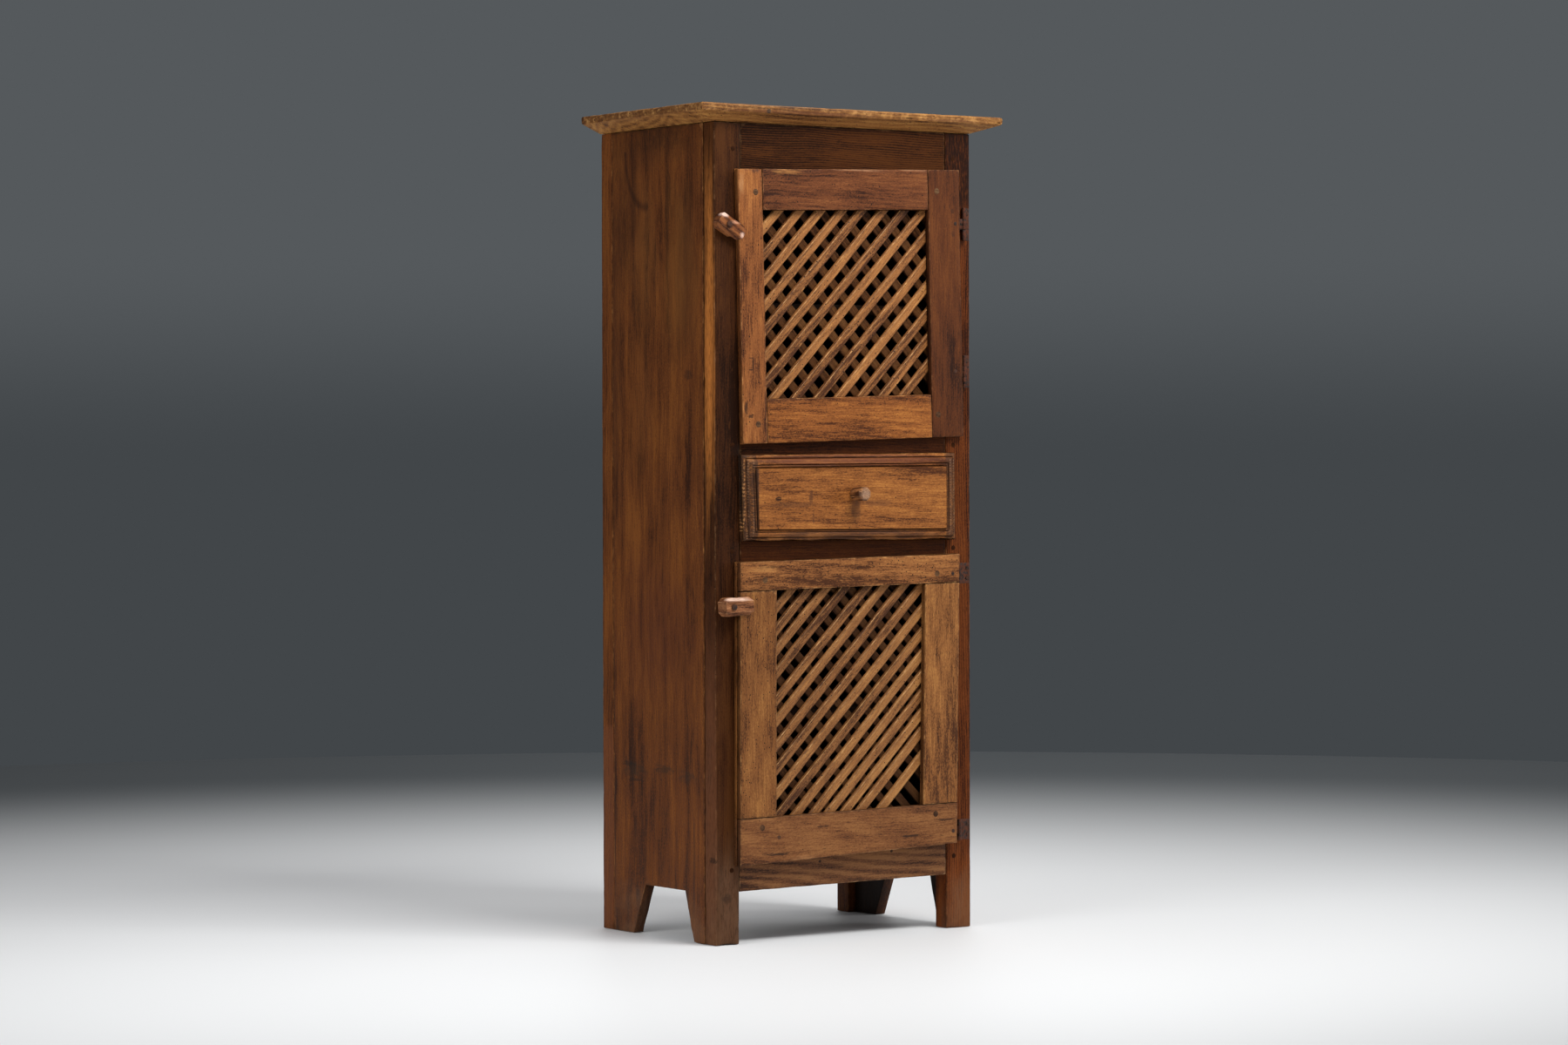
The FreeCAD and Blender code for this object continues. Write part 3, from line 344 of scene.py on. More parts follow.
def wood(name, middle, grain, seed, rings=5.0, figure=0.12, streak=0.9, blotch=0.8, worms=0.0,
         wear=0.8, spots=(), bump=0.6, dim=None, mark=None, rows=(), gloss=0.16):
    """A wooden material for one piece. rings is their spacing in mm, and dim the direction in
    which the piece faces the dark inside of the cupboard; faces turned that way get a painted
    shade. spots, rows and mark are painted over the wood: spots, rows of ticks and one growth mark."""
    material, tree, shader = new_material(name)
    direction, turn = grain
    place = add(tree, "TexCoord").outputs["Object"]
    place = add(tree, "Mapping", {"Vector": place, "Rotation": turn,
                                  "Location": tuple(seed * step for step in SEED_STEP)})
    pattern = add(tree, "Group", node_tree=old_wood)
    dark, mid, light, worn = shades(middle)
    pith = (PITH[0] - seed * SEED_STEP[0], PITH[1] - seed * SEED_STEP[1],
            -seed * SEED_STEP[2] % 1.0)
    for socket, value in (("Grain", direction), ("Across", pith), ("Dark", dark), ("Mid", mid),
                          ("Light", light), ("Worn", worn), ("Figure", figure),
                          ("Rings", WAVE_LENGTH / (rings * MM)), ("Streak", streak),
                          ("Blotch", blotch), ("Worms", worms), ("Wear", wear)):
        pattern.inputs[socket].default_value = value
    tree.links.new(place.outputs[0], pattern.inputs["Place"])
    colour = pattern.outputs["Colour"]
    specks = cloud(tree, place.outputs[0], (420, 420, 70), 3.0, 0.6)
    specks = remap(tree, specks, -0.2, 0.08, 0.45, 1.0)
    for details in spots:
        colour = spot(tree, colour, specks, *details)
    for details in rows:
        colour = tick_row(tree, colour, *details)
    if mark:
        colour = growth_mark(tree, colour, *mark)
    # Painted shade on the faces turned towards the dark inside
    if dim:
        normal = add(tree, "TexCoord").outputs["Normal"]
        inward = remap(tree, vector_node(tree, "DOT_PRODUCT", normal, dim), 0.5, 0.8)
        colour = mix(tree, times(tree, inward, 0.75), colour, tone(30, 19, 12))
    tree.links.new(colour, shader.inputs["Base Color"])
    tree.links.new(pattern.outputs["Roughness"], shader.inputs["Roughness"])
    relief = add(tree, "Bump", {"Height": pattern.outputs["Height"], "Strength": bump,
                                "Distance": 0.0012})
    tree.links.new(relief.outputs[0], shader.inputs["Normal"])
    shader.inputs["Specular IOR Level"].default_value = gloss
    return material


def iron(name, seed, rusted):
    """Old forged iron: nearly black, with brown rust and pitting."""
    material, tree, shader = new_material(name)
    place = add(tree, "TexCoord").outputs["Object"]
    place = vector_node(tree, "ADD", place, (seed, seed * 0.6, seed * 0.3))
    rust = cloud(tree, place, (160, 160, 160), 4.0, 0.65)
    pits = cloud(tree, place, (700, 700, 700), 2.0)
    colour = mix(tree, remap(tree, rust, -0.16, 0.1), tone(38, 31, 27), tone(*rusted))
    tree.links.new(colour, shader.inputs["Base Color"])
    tree.links.new(remap(tree, rust, -0.15, 0.15, 0.42, 0.78), shader.inputs["Roughness"])
    relief = add(tree, "Bump", {"Height": plus(tree, pits, rust), "Strength": 0.6,
                                "Distance": 0.0006})
    tree.links.new(relief.outputs[0], shader.inputs["Normal"])
    shader.inputs["Metallic"].default_value = 0.55
    return material


# Mesh building

def face_loop(shape, axis, side):
    """The outline of the outermost flat face of a mesh on one side, its corners in order."""
    levels = [v.co[axis] for v in shape.verts]
    level = max(levels) if side > 0 else min(levels)
    flat = {f for f in shape.faces if all(abs(v.co[axis] - level) < 0.02 * MM for v in f.verts)}
    rim = [e for e in shape.edges if sum(f in flat for f in e.link_faces) == 1]
    ways = {}
    for edge in rim:
        for a, b in (edge.verts, reversed(edge.verts)):
            ways.setdefault(a, []).append(b)
    best = []
    left = set(ways)
    for start in ways:
        if start not in left:
            continue
        left.discard(start)
        path = [start]
        while True:
            ahead = [v for v in ways[path[-1]] if v in left]
            if not ahead:
                break
            path.append(ahead[0])
            left.discard(ahead[0])
        size = sum((path[i].co - path[i - 1].co).length for i in range(len(path)))
        if size > sum((best[i] - best[i - 1]).length for i in range(len(best))):
            best = [v.co.copy() for v in path]
    corners = []
    for i, point in enumerate(best):
        before = point - best[i - 1]
        after = best[(i + 1) % len(best)] - point
        if before.angle(after) > math.radians(1.0):
            corners.append(point)
    return corners


def node_mesh(node, merged=False):
    """A CAD node's mesh, where told with its coplanar triangles merged to whole faces."""
    shape = bmesh.new()
    shape.from_mesh(nodes[node].data)
    bmesh.ops.remove_doubles(shape, verts=shape.verts, dist=0.001 * MM)
    if merged:
        bmesh.ops.dissolve_limit(shape, angle_limit=math.radians(0.5), verts=shape.verts[:],
                                 edges=shape.edges[:])
    return shape


def sharp_edges(shape, degrees):
    return [e for e in shape.edges
            if len(e.link_faces) == 2 and e.calc_face_angle(0) > math.radians(degrees)]


def inset(corners, axis, amount):
    """An outline drawn in by an even amount, which leaves an open joint beside it."""
    a, b = [i for i in range(3) if i != axis]
    area = sum(corners[i - 1][a] * p[b] - p[a] * corners[i - 1][b]
               for i, p in enumerate(corners))
    side = 1 if area > 0 else -1
    drawn = []
    for i, point in enumerate(corners):
        before = point - corners[i - 1]
        after = corners[(i + 1) % len(corners)] - point
        normals = []
        for run in (before, after):
            normal = Vector((0, 0, 0))
            normal[a], normal[b] = -run[b] * side, run[a] * side
            normals.append(normal.normalized())
        lean = normals[0] + normals[1]
        drawn.append(point + lean * (amount / (1 + normals[0].dot(normals[1]))))
    return drawn


def prism(outline, axis, far):
    """A closed prism from an outline in a plane across the axis to another level on it."""
    shape = bmesh.new()
    near_ring = [shape.verts.new(p) for p in outline]
    far_ring = []
    for point in outline:
        moved = point.copy()
        moved[axis] = far
        far_ring.append(shape.verts.new(moved))
    shape.faces.new(near_ring)
    shape.faces.new(far_ring[::-1])
    for i in range(len(outline)):
        shape.faces.new((near_ring[i - 1], near_ring[i], far_ring[i], far_ring[i - 1]))
    bmesh.ops.recalc_face_normals(shape, faces=shape.faces)
    return shape


def soften(shape, width, segments=2, edges=None):
    edges = shape.edges[:] if edges is None else edges
    bmesh.ops.bevel(shape, geom=edges, offset=width, segments=segments, profile=0.6,
                    affect="EDGES", clamp_overlap=True)


def unit(axis):
    return Vector([1.0 if i == axis else 0.0 for i in range(3)])


def append(shape, other):
    """Adds another mesh's geometry to a mesh."""
    carrier = bpy.data.meshes.new("carrier")
    other.to_mesh(carrier)
    shape.from_mesh(carrier)
    bpy.data.meshes.remove(carrier)


def cut(shape, point, normal, clear=False):
    """Cuts a mesh by a plane, and where told drops what lies behind it."""
    parts = shape.verts[:] + shape.edges[:] + shape.faces[:]
    bmesh.ops.bisect_plane(shape, geom=parts, plane_co=point, plane_no=normal,
                           clear_inner=clear, dist=0.001 * MM)


def cut_grid(shape, spacing, axes=(X, Y, Z)):
    """Cuts a mesh by even planes across the axes, so that it has points to move."""
    for axis in axes:
        levels = [v.co[axis] for v in shape.verts]
        low, high = min(levels), max(levels)
        count = int((high - low) / spacing)
        for index in range(1, count + 1):
            level = low + (high - low) * index / (count + 1)
            cut(shape, unit(axis) * level, unit(axis))


def hollow(place, rate, depth):
    """A gentle hollow of up to this depth, from noise of this many waves to a metre."""
    return (noise.noise(place * rate) * 0.5 + 0.5) * depth


def line_distance(point, a, b):
    """How far a point lies from the line between two others."""
    run = b - a
    share = max(0.0, min(1.0, (point - a).dot(run) / run.length_squared))
    return (point - a - run * share).length


def outline_distance(point, corners, axis):
    """How far a point lies from an outline, as seen along the axis."""
    flat = point.copy()
    flat[axis] = corners[0][axis]
    return min(line_distance(flat, corners[i - 1], corners[i]) for i in range(len(corners)))


def weather(shape, corners, axis, near, far, seed, rough=0.35 * MM, chips=1.2 * MM, reach=5 * MM,
            side_dirt=0.0):
    """Moves the points inward: gentle hollows on the faces, and bites out of the edges."""
    layer = shape.verts.layers.float.new("edge")
    soil_and_shade = shape.verts.layers.float.new("dirt_and_shade")
    shape.normal_update()
    offset = Vector((seed * 3.7, seed * 1.3, seed * 2.1))
    for vert in shape.verts:
        depth = min(abs(vert.co[axis] - near), abs(vert.co[axis] - far))
        closeness = math.exp(-max(outline_distance(vert.co, corners, axis), depth) / reach)
        vert[layer] = closeness
        vert[soil_and_shade] = side_dirt * min(1.0, max(0.0, abs(vert.co[axis] - near) / MM - 0.9))
        place = vert.co + offset
        bite = max(0.0, noise.noise(place * 34) + 0.35 * noise.noise(place * 120) - 0.05)
        bite *= 1 + 2.5 * math.exp((carcass_corner.z - vert.co.z) / (12 * MM))
        vert.co -= vert.normal * (hollow(place, 9, rough) + chips * closeness * bite)


def new_object(name, data):
    made = bpy.data.objects.new(name, data)
    bpy.context.scene.collection.objects.link(made)
    return made


def place_piece(name, shape, material, stands_for, smooth_angle=50):
    """Turns a mesh into a piece that rides on the body of the CAD nodes that it stands for."""
    mesh = bpy.data.meshes.new(name)
    shape.to_mesh(mesh)
    shape.free()
    mesh.shade_smooth()
    mesh.set_sharp_from_angle(angle=math.radians(smooth_angle))
    mesh.materials.append(material)
    piece = new_object(name, mesh)
    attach(piece, nodes[stands_for[0]]["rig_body"])
    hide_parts(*stands_for)


def worn_board(node, material, seed, axis=Y, side=-1, spacing=11 * MM, width=1.6 * MM,
               far=None, rear=False, gap=0.3 * MM, **weathering):
    """A worn copy of a flat board, from the outline of one of its faces."""
    source = node_mesh(node)
    corners = face_loop(source, axis, side)
    near = corners[0][axis]
    low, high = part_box(node)
    end = far if far is not None else (high if side < 0 else low)[axis]
    corners = inset(corners, axis, gap)
    shape = prism(corners, axis, end)
    soften(shape, width)
    cut_grid(shape, spacing)
    weather(shape, corners, axis, near, end, seed, **weathering)
    if rear:
        cut(source, unit(axis) * end, unit(axis), clear=True)
        append(shape, source)
    source.free()
    place_piece("worn_" + node, shape, material, [node])


def soft_copy(node, material, width=0.8 * MM):
    """A copy of a CAD node with its sharp edges eased."""
    shape = node_mesh(node, merged=True)
    soften(shape, width, edges=sharp_edges(shape, 35))
    bmesh.ops.triangulate(shape, faces=[f for f in shape.faces if len(f.verts) > 4])
    place_piece("eased_" + node, shape, material, [node], 35)


# Carcass

# Marks in the wood: the place, in mm from the carcass corner, the three radii in mm, the
# colour, and then how strong, how ragged and how soft-edged each one is.
LEFT_POST_MARKS = (
    # A strip where the polish has worn to gold, and dusty wood towards the foot
    ((0, 18, 1080), (5, 26, 430), (190, 116, 52), 0.85, 0.45, 0.8),
    ((0, 20, 220), (6, 50, 460), (112, 68, 42), 0.6, 0.3, 0.7),
    ((30, 0, 10), (70, 60, 270), (112, 82, 60), 0.5, 0.4, 0.8),
    # Knots
    ((24, -2, 84), (15, 8, 12), (48, 34, 25), 0.75, 0.5, 0.7),
    ((0, 9, 152), (9, 13, 7), (34, 19, 13), 0.85, 0.7),
)
RIGHT_POST_MARKS = (
    ((545, 0, 1420), (60, 14, 130), (30, 14, 8), 0.95),
    ((548, 0, 1010), (14, 8, 26), (44, 26, 17), 0.7),
    ((550, 0, 20), (60, 40, 130), (116, 84, 60), 0.5, 0.5, 0.8),
)
BOTTOM_RAIL_MARKS = (
    ((228, 1, 140), (4, 5, 4), (24, 13, 9), 0.9),
    ((388, 1, 150), (4, 5, 4), (24, 13, 9), 0.9),
)
LEFT_SIDE_MARKS = (
    # A row of dark water marks above the arch
    ((0, 270, 300), (12, 58, 24), (44, 35, 25), 0.6, 0.9, 0.9),
    ((0, 286, 310), (12, 26, 6), (30, 24, 18), 0.7, 0.8, 0.6),
    ((0, 262, 282), (12, 34, 4), (30, 24, 18), 0.6, 0.8, 0.6),
    ((0, 170, 306), (12, 44, 12), (40, 31, 22), 0.7, 0.9, 0.8),
    ((0, 92, 296), (12, 40, 18), (44, 34, 25), 0.6, 0.9, 0.9),
    # A knot, and a crack at the front of the arch
    ((0, 85, 1020), (10, 16, 12), (52, 28, 14), 0.7, 0.5),
    ((0, 70, 139), (10, 4, 120), (44, 26, 18), 0.6, 0.5),
    # Dark under the top board, painted shadow of its overhang with some grime; old stain in broad
    # gold and brown patches below
    ((0, 200, 1475), (12, 300, 110), (36, 19, 7), 0.75, 0.4, 0.95),
    ((0, 115, 1210), (12, 75, 230), (116, 72, 28), 0.6, 0.5, 0.95),
    ((0, 300, 1290), (12, 80, 190), (48, 25, 9), 0.6, 0.5, 0.95),
    ((0, 250, 950), (12, 60, 200), (118, 68, 26), 0.4, 0.5, 0.95),
    ((0, 330, 1000), (12, 34, 420), (60, 32, 14), 0.5, 0.4, 0.9),
    ((0, 230, 1240), (12, 60, 230), (124, 76, 32), 0.4, 0.5, 0.95),
    ((0, 90, 1220), (12, 50, 230), (56, 28, 11), 0.5, 0.5, 0.95),
    ((0, 200, 560), (12, 180, 190), (84, 42, 24), 0.45, 0.4, 0.95),
    # Dusty feet, and the joint of a piece let in at the rear edge
    ((0, 180, 0), (30, 240, 110), (124, 92, 68), 0.5, 0.6, 0.9),
    ((0, 334, 190), (14, 1.6, 190), (30, 16, 9), 0.7, 0.2, 0.5),
)
LEFT_SIDE_GROWTH = ((0, 226, 1432), (68, 104), 0.13, (40, 18, 7), 0.6)
REAR_POST_MARKS = (((0, 357, 190), (16, 70, 196), (118, 68, 40), 0.45, 0.08, 0.1),)


def build_carcass():
    material = wood("left_post_wood", LEFT_POST, GRAIN_Z, 1, figure=0.08, streak=1.3,
                    blotch=1.2, worms=0.2, gloss=0.07, spots=LEFT_POST_MARKS)
    worn_board("left_front_post", material, seed=1, width=3.0 * MM, chips=2.2 * MM,
               reach=7 * MM)
    material = wood("right_post_wood", RIGHT_POST, GRAIN_Z, 2, figure=0.3, streak=1.1,
                    gloss=0.07, spots=RIGHT_POST_MARKS)
    worn_board("right_front_post", material, seed=2, width=2.5 * MM)

    material = wood("top_rail_wood", RAIL, GRAIN_X, 3, rings=4, figure=0.5, streak=1.2,
                    gloss=0.06)
    worn_board("front_top_rail", material, seed=3, width=0.6 * MM, chips=0)
    for name, seed in (("rail_above", 4), ("rail_below", 5)):
        material = wood(name + "_wood", SHADED_RAIL, GRAIN_X, seed, gloss=0.06)
        worn_board(name + "_drawer", material, seed=seed, width=0.6 * MM, chips=0)
    material = wood("bottom_rail_wood", BOTTOM_RAIL, GRAIN_X, 6, figure=0.4,
                    spots=BOTTOM_RAIL_MARKS)
    worn_board("front_bottom_rail", material, seed=6, width=1.5 * MM)

    wear = {"axis": X, "spacing": 14 * MM, "width": 1.2 * MM, "rough": 0.6 * MM,
            "side_dirt": 0.8, "gap": 0.5 * MM}
    material = wood("left_side_wood", SIDE, GRAIN_Z, 77, rings=9, streak=1.15, blotch=0.75,
                    dim=(1, 0, 0), spots=LEFT_SIDE_MARKS, mark=LEFT_SIDE_GROWTH)
    worn_board("left_side_board", material, side=-1, seed=7, **wear)
    material = wood("right_side_wood", SIDE, GRAIN_Z, 8, rings=9, figure=0.1, streak=0.7,
                    blotch=0.55, dim=(-1, 0, 0))
    worn_board("right_side_board", material, side=1, seed=8, **wear)
    for seed, node in enumerate(("left_rear_post", "right_rear_post"), 9):
        material = wood(node + "_wood", SIDE, GRAIN_Z, seed, spots=REAR_POST_MARKS)
        worn_board(node, material, side=1, seed=seed, width=2 * MM)
    build_top()

    for seed, name in enumerate(("left", "middle", "right"), 20):
        material = wood("back_wood_" + name, BACK, GRAIN_Z, seed, dim=(0, -1, 0))
        soft_copy("back_board_" + name, material)
    for seed, node in enumerate(("rear_bottom_rail", "rear_middle_rail", "rear_top_rail"), 23):
        soft_copy(node, wood(node + "_wood", BACK, GRAIN_X, seed, dim=(0, -1, 0)))
    for seed, node in enumerate(("bottom_board", "upper_floor", "lower_ceiling", "upper_shelf",
                                 "lower_shelf"), 30):
        soft_copy(node, wood(node + "_wood", INSIDE, GRAIN_X, seed), 1.0 * MM)
    for seed, node in enumerate(("shelf_cleats", "drawer_kickers", "drawer_runners",
                                 "drawer_guides"), 36):
        soft_copy(node, wood(node + "_wood", INSIDE, GRAIN_Y, seed))
    soft_copy("carcass_pegs", wood("carcass_peg_wood", RAIL, GRAIN_Y, 40, gloss=0.06), 0.5 * MM)


TOP_MARKS = (
    # A golden lower band of painted bounce light and brown bands on the front edge; painted
    # highlights on the top arrises
    ((290, -18, 1474), (700, 22, 8), (150, 92, 42), 0.5, 0.2, 0.8),
    ((180, -26, 1490), (260, 9, 6), (104, 62, 34), 0.7, 0.6, 0.8),
    ((520, -26, 1490), (110, 9, 5), (92, 56, 34), 0.6, 0.7, 0.8),
    ((250, -26, 1484), (330, 6, 3), (74, 44, 28), 0.6, 0.6, 0.9),
    ((120, -30, 1500), (330, 8, 2), (222, 184, 142), 0.7, 0.15, 0.6),
    ((-46, 120, 1500), (6, 200, 2), (206, 164, 122), 0.6, 0.2, 0.6),
    # A knot, and the greyer left end
    ((102, -25, 1490), (5, 6, 5), (50, 46, 42), 0.85, 0.1, 0.3),
    ((-40, 180, 1480), (20, 220, 12), (132, 88, 52), 0.5, 0.4, 0.9),
)


def build_top():
    """The top board, its edges worn round and eaten by worms."""
    shape = node_mesh("top_board", merged=True)
    cut_grid(shape, 7 * MM, (X, Y))
    cut_grid(shape, 4 * MM, (Z,))
    low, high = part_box("top_board")
    layer = shape.verts.layers.float.new("edge")
    shape.normal_update()
    for vert in shape.verts:
        rim = min(vert.co.x - low.x, high.x - vert.co.x, vert.co.y - low.y)
        closeness = math.exp(-max(0.0, rim) / (9 * MM))
        vert[layer] = closeness * 0.8
        place = vert.co + Vector((3, 5, 7))
        bite = max(0.0, noise.noise(place * 28) + 0.3 * noise.noise(place * 100))
        vert.co -= vert.normal * (hollow(place, 7, 0.5 * MM) + 1.5 * MM * closeness * bite)
    material = wood("top_board_wood", TOP, GRAIN_X, 11, rings=6, figure=0.25, streak=1.1,
                    blotch=0.7, worms=1.2, wear=0.45, bump=0.9, spots=TOP_MARKS)
    place_piece("worn_top_board", shape, material, ["top_board"])


# Doors

def island_meshes(node):
    """Each separate solid of a node as a mesh of its own."""
    whole = node_mesh(node)
    left = set(whole.verts)
    found = []
    for start in whole.verts:
        if start not in left:
            continue
        left.discard(start)
        group = {start}
        border = [start]
        while border:
            vert = border.pop()
            for edge in vert.link_edges:
                other = edge.other_vert(vert)
                if other in left:
                    left.discard(other)
                    group.add(other)
                    border.append(other)
        part = bmesh.new()
        copies = {v: part.verts.new(v.co) for v in whole.verts if v in group}
        for face in whole.faces:
            if face.verts[0] in group:
                part.faces.new([copies[v] for v in face.verts])
        found.append(part)
    whole.free()
    return found


def plain_slat(corners, far, along, upward, chamfer):
    """One slat, eased and cut into short lengths, so that it has points to move."""
    near = corners[0].y
    slat = prism(corners, Y, far)
    long_edges = [e for e in slat.edges
                  if abs((e.verts[0].co - e.verts[1].co).normalized().dot(along)) > 0.99
                  and all(abs(v.co.y - near) < 0.01 * MM for v in e.verts)]
    long_edges.sort(key=lambda e: (e.verts[0].co + e.verts[1].co).dot(upward))
    if chamfer and len(long_edges) > 1:
        soften(slat, chamfer, 1, long_edges[-1:])
    soften(slat, 0.7 * MM)
    reach = [v.co.dot(along) for v in slat.verts]
    start, length = min(reach), max(reach) - min(reach)
    steps = max(1, int(length / (12 * MM)))
    for step in range(1, steps):
        cut(slat, along * (start + length * step / steps), along)
    return slat


def worn_slats(node, middle, angle, seed, chamfer):
    """Slats with one broad chamfer on the upper front arris, and hand-cut, wavy edges; a painted
    highlight runs along the upper arris and painted shade along the lower edge.
    """
    turn = math.radians(angle)
    along = Vector((math.cos(turn), 0, math.sin(turn)))
    upward = Vector((-math.sin(turn), 0, math.cos(turn)))
    whole = bmesh.new()
    layer = whole.verts.layers.float.new("edge")
    tint = whole.verts.layers.float.new("tint")
    soil_and_shade = whole.verts.layers.float.new("dirt_and_shade")
    for index, part in enumerate(island_meshes(node)):
        corners = face_loop(part, Y, -1)
        near = corners[0].y
        slat = plain_slat(corners, max(v.co.y for v in part.verts), along, upward, chamfer)
        highest = max(p.dot(upward) for p in corners)
        lowest = min(p.dot(upward) for p in corners)
        for level in (highest - chamfer - 1.2 * MM, lowest + 2.0 * MM):
            cut(slat, upward * level, upward)
        slat.normal_update()
        shift = Vector((seed + index * 1.7, index * 0.9, seed * 0.5))
        copies = {}
        for vert in slat.verts:
            place = vert.co + shift
            wave = noise.noise(place * 11) * 0.8 * MM
            moved = upward * wave - vert.normal * hollow(place, 40, 0.5 * MM)
            made = whole.verts.new(vert.co + moved)
            rise = vert.co.dot(upward)
            front = math.exp(-max(0.0, vert.co.y - near) / (2 * MM))
            # A painted highlight: the edge value rises only at the upper arris, where the worn tone
            # lightens it
            made[layer] = front * max(0.0, 1.1 - max(0.0, highest - chamfer - rise) / (2 * MM))
            # Painted shade along the lower edge of each slat
            made[soil_and_shade] = 0.7 * max(0.0, 1 - (rise - lowest) / (2 * MM))
            made[tint] = 0.07 * math.sin(seed + index * 2.4)
            copies[vert] = made
        for face in slat.faces:
            whole.faces.new([copies[v] for v in face.verts])
        slat.free()
        part.free()
    # wear sets the strength of the painted highlight on the upper arris as well as of the wear
    material = wood(node + "_wood", middle, slanted_grain(angle), seed, rings=4, worms=0.3,
                    blotch=0.7, wear=1.0, gloss=0.2 if chamfer else 0.06)
    place_piece("worn_" + node, whole, material, [node], 40)


# How far behind its face each door's worn front gives way to the plain CAD shape
SPLITS = {"upper_door": 10.7 * MM, "lower_door": 11.0 * MM}

UPPER_LEFT_STILE_MARKS = (
    # A scar, an old catch's bracket-shaped groove, and rubbed wood at the top
    ((61, -11, 960), (5, 6, 17), (52, 29, 17), 0.85, 0.9, 0.4),
    ((70, -11, 945), (9, 6, 4), (44, 25, 15), 0.8, 0.9, 0.4),
    ((76, -11, 1040), (2, 6, 16), (44, 25, 15), 0.9, 0.7, 0.4),
    ((71, -11, 1049), (6, 6, 1.6), (44, 25, 15), 0.9, 0.5, 0.4),
    ((71, -11, 1028), (6, 6, 1.6), (44, 25, 15), 0.9, 0.5, 0.4),
    ((52, -11, 1362), (9, 6, 30), (196, 146, 98), 0.4, 0.9, 0.9),
    ((82, -11, 1385), (14, 6, 8), (70, 38, 20), 0.7, 0.6, 0.8),
)
UPPER_RIGHT_STILE_MARKS = (
    ((520, -11, 1325), (5, 6, 6), (54, 30, 18), 0.7),
    ((522, -11, 1283), (5, 6, 7), (54, 30, 18), 0.7),
)
UPPER_TOP_RAIL_MARKS = (
    # A golden patch at the left, pale chips with a painted highlight along the upper edge, and a
    # paler band lower down
    ((150, -11, 1385), (50, 8, 7), (190, 130, 70), 0.5, 0.9, 0.9),
    ((300, -11, 1393), (90, 8, 3), (176, 128, 92), 0.6, 0.9, 0.8),
    ((430, -11, 1397), (50, 8, 3), (176, 128, 92), 0.5, 0.9, 0.8),
    ((250, -11, 1318), (160, 8, 5), (150, 92, 56), 0.5, 0.5, 0.9),
)
LOWER_TOP_RAIL_MARKS = (
    ((95, -20, 672), (44, 8, 9), (206, 148, 84), 0.4, 0.9, 0.95),
)
LOWER_BOTTOM_RAIL_MARKS = (
    # Cracks along the grain, a pale patch, the open joint above it and a knot
    ((120, -20, 160), (34, 8, 3), (40, 24, 15), 0.9, 0.9, 0.35),
    ((415, -20, 178), (26, 8, 3), (44, 27, 17), 0.9, 0.9, 0.35),
    ((220, -20, 205), (18, 8, 2), (36, 21, 13), 0.9, 0.7, 0.35),
    ((495, -20, 204), (24, 8, 2), (36, 21, 13), 0.9, 0.7, 0.35),
    ((180, -20, 150), (44, 8, 9), (176, 124, 78), 0.45, 0.9, 0.9),
    ((50, -20, 227), (34, 8, 2.5), (14, 8, 5), 1.0, 0.1, 0.4),
    ((124, -20, 190), (5, 8, 5), (58, 40, 30), 0.8, 0.2),
)

# Each member of a door: its middle tone, grain, seed, how much worm, and its marks
DOOR_MEMBERS = (
    ("upper_door", "left_stile", (136, 81, 44), GRAIN_Z, 41, 0.1, UPPER_LEFT_STILE_MARKS),
    ("upper_door", "right_stile", (84, 43, 18), GRAIN_Z, 42, 0.1, UPPER_RIGHT_STILE_MARKS),
    ("upper_door", "top_rail", (104, 58, 32), GRAIN_X, 43, 0.2, UPPER_TOP_RAIL_MARKS),
    ("upper_door", "bottom_rail", (139, 82, 40), GRAIN_X, 44, 0.8, ()),
    ("lower_door", "left_stile", (124, 78, 43), GRAIN_Z, 45, 0.8, ()),
    ("lower_door", "right_stile", (138, 89, 51), GRAIN_Z, 46, 0.9, ()),
    ("lower_door", "top_rail", (144, 92, 54), GRAIN_X, 47, 0.6, LOWER_TOP_RAIL_MARKS),
    ("lower_door", "bottom_rail", (114, 71, 43), GRAIN_X, 48, 1.1, LOWER_BOTTOM_RAIL_MARKS),
)


def build_doors():
    for door, member, middle, grain, seed, worms, marks in DOOR_MEMBERS:
        node = door + "_" + member
        material = wood(node + "_wood", middle, grain, seed, worms=worms, spots=marks)
        worn_board(node, material, spacing=9 * MM, seed=seed, rear=True,
                   far=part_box(node)[0].y + SPLITS[door], chips=1.6 * MM, reach=4 * MM,
                   width=1.1 * MM, side_dirt=0.8, gap=0.45 * MM)
    # The back slats' tones are darker, a painted shade of the front slats over them
    worn_slats("upper_door_front_slats", (150, 98, 58), 46.0, 51, 2.0 * MM)
    worn_slats("upper_door_back_slats", (80, 49, 28), -46.0, 52, 0)
    worn_slats("lower_door_front_slats", (138, 91, 55), 45.0, 53, 2.0 * MM)
    worn_slats("lower_door_back_slats", (64, 39, 23), -45.0, 54, 0)
    for seed, door in enumerate(SPLITS, 55):
        material = wood(door + "_peg_wood", PEG, GRAIN_Y, seed, rings=3, figure=0.3)
        soft_copy(door + "_pegs", material, 0.4 * MM)


# Drawer

# The drawer front's moulding, from its outer edge to its field: how far in, how far forward
# and how dirty. The dips are grooves.
MOULDING = ((0.0, 0.0, 0.5), (0.05, 0.2, 0.0), (0.1, 0.3, 0.0), (0.24, 0.36, 0.2),
            (0.28, 0.14, 1.0), (0.32, 0.5, 0.3), (0.38, 0.64, 0.0), (0.5, 0.74, 0.0),
            (0.62, 0.8, 0.1), (0.7, 0.78, 0.3), (0.74, 0.5, 1.0), (0.78, 0.74, 0.4),
            (0.88, 0.78, 0.2), (0.93, 0.5, 1.0), (0.98, 0.9, 0.6), (1.0, 1.0, 0.1))

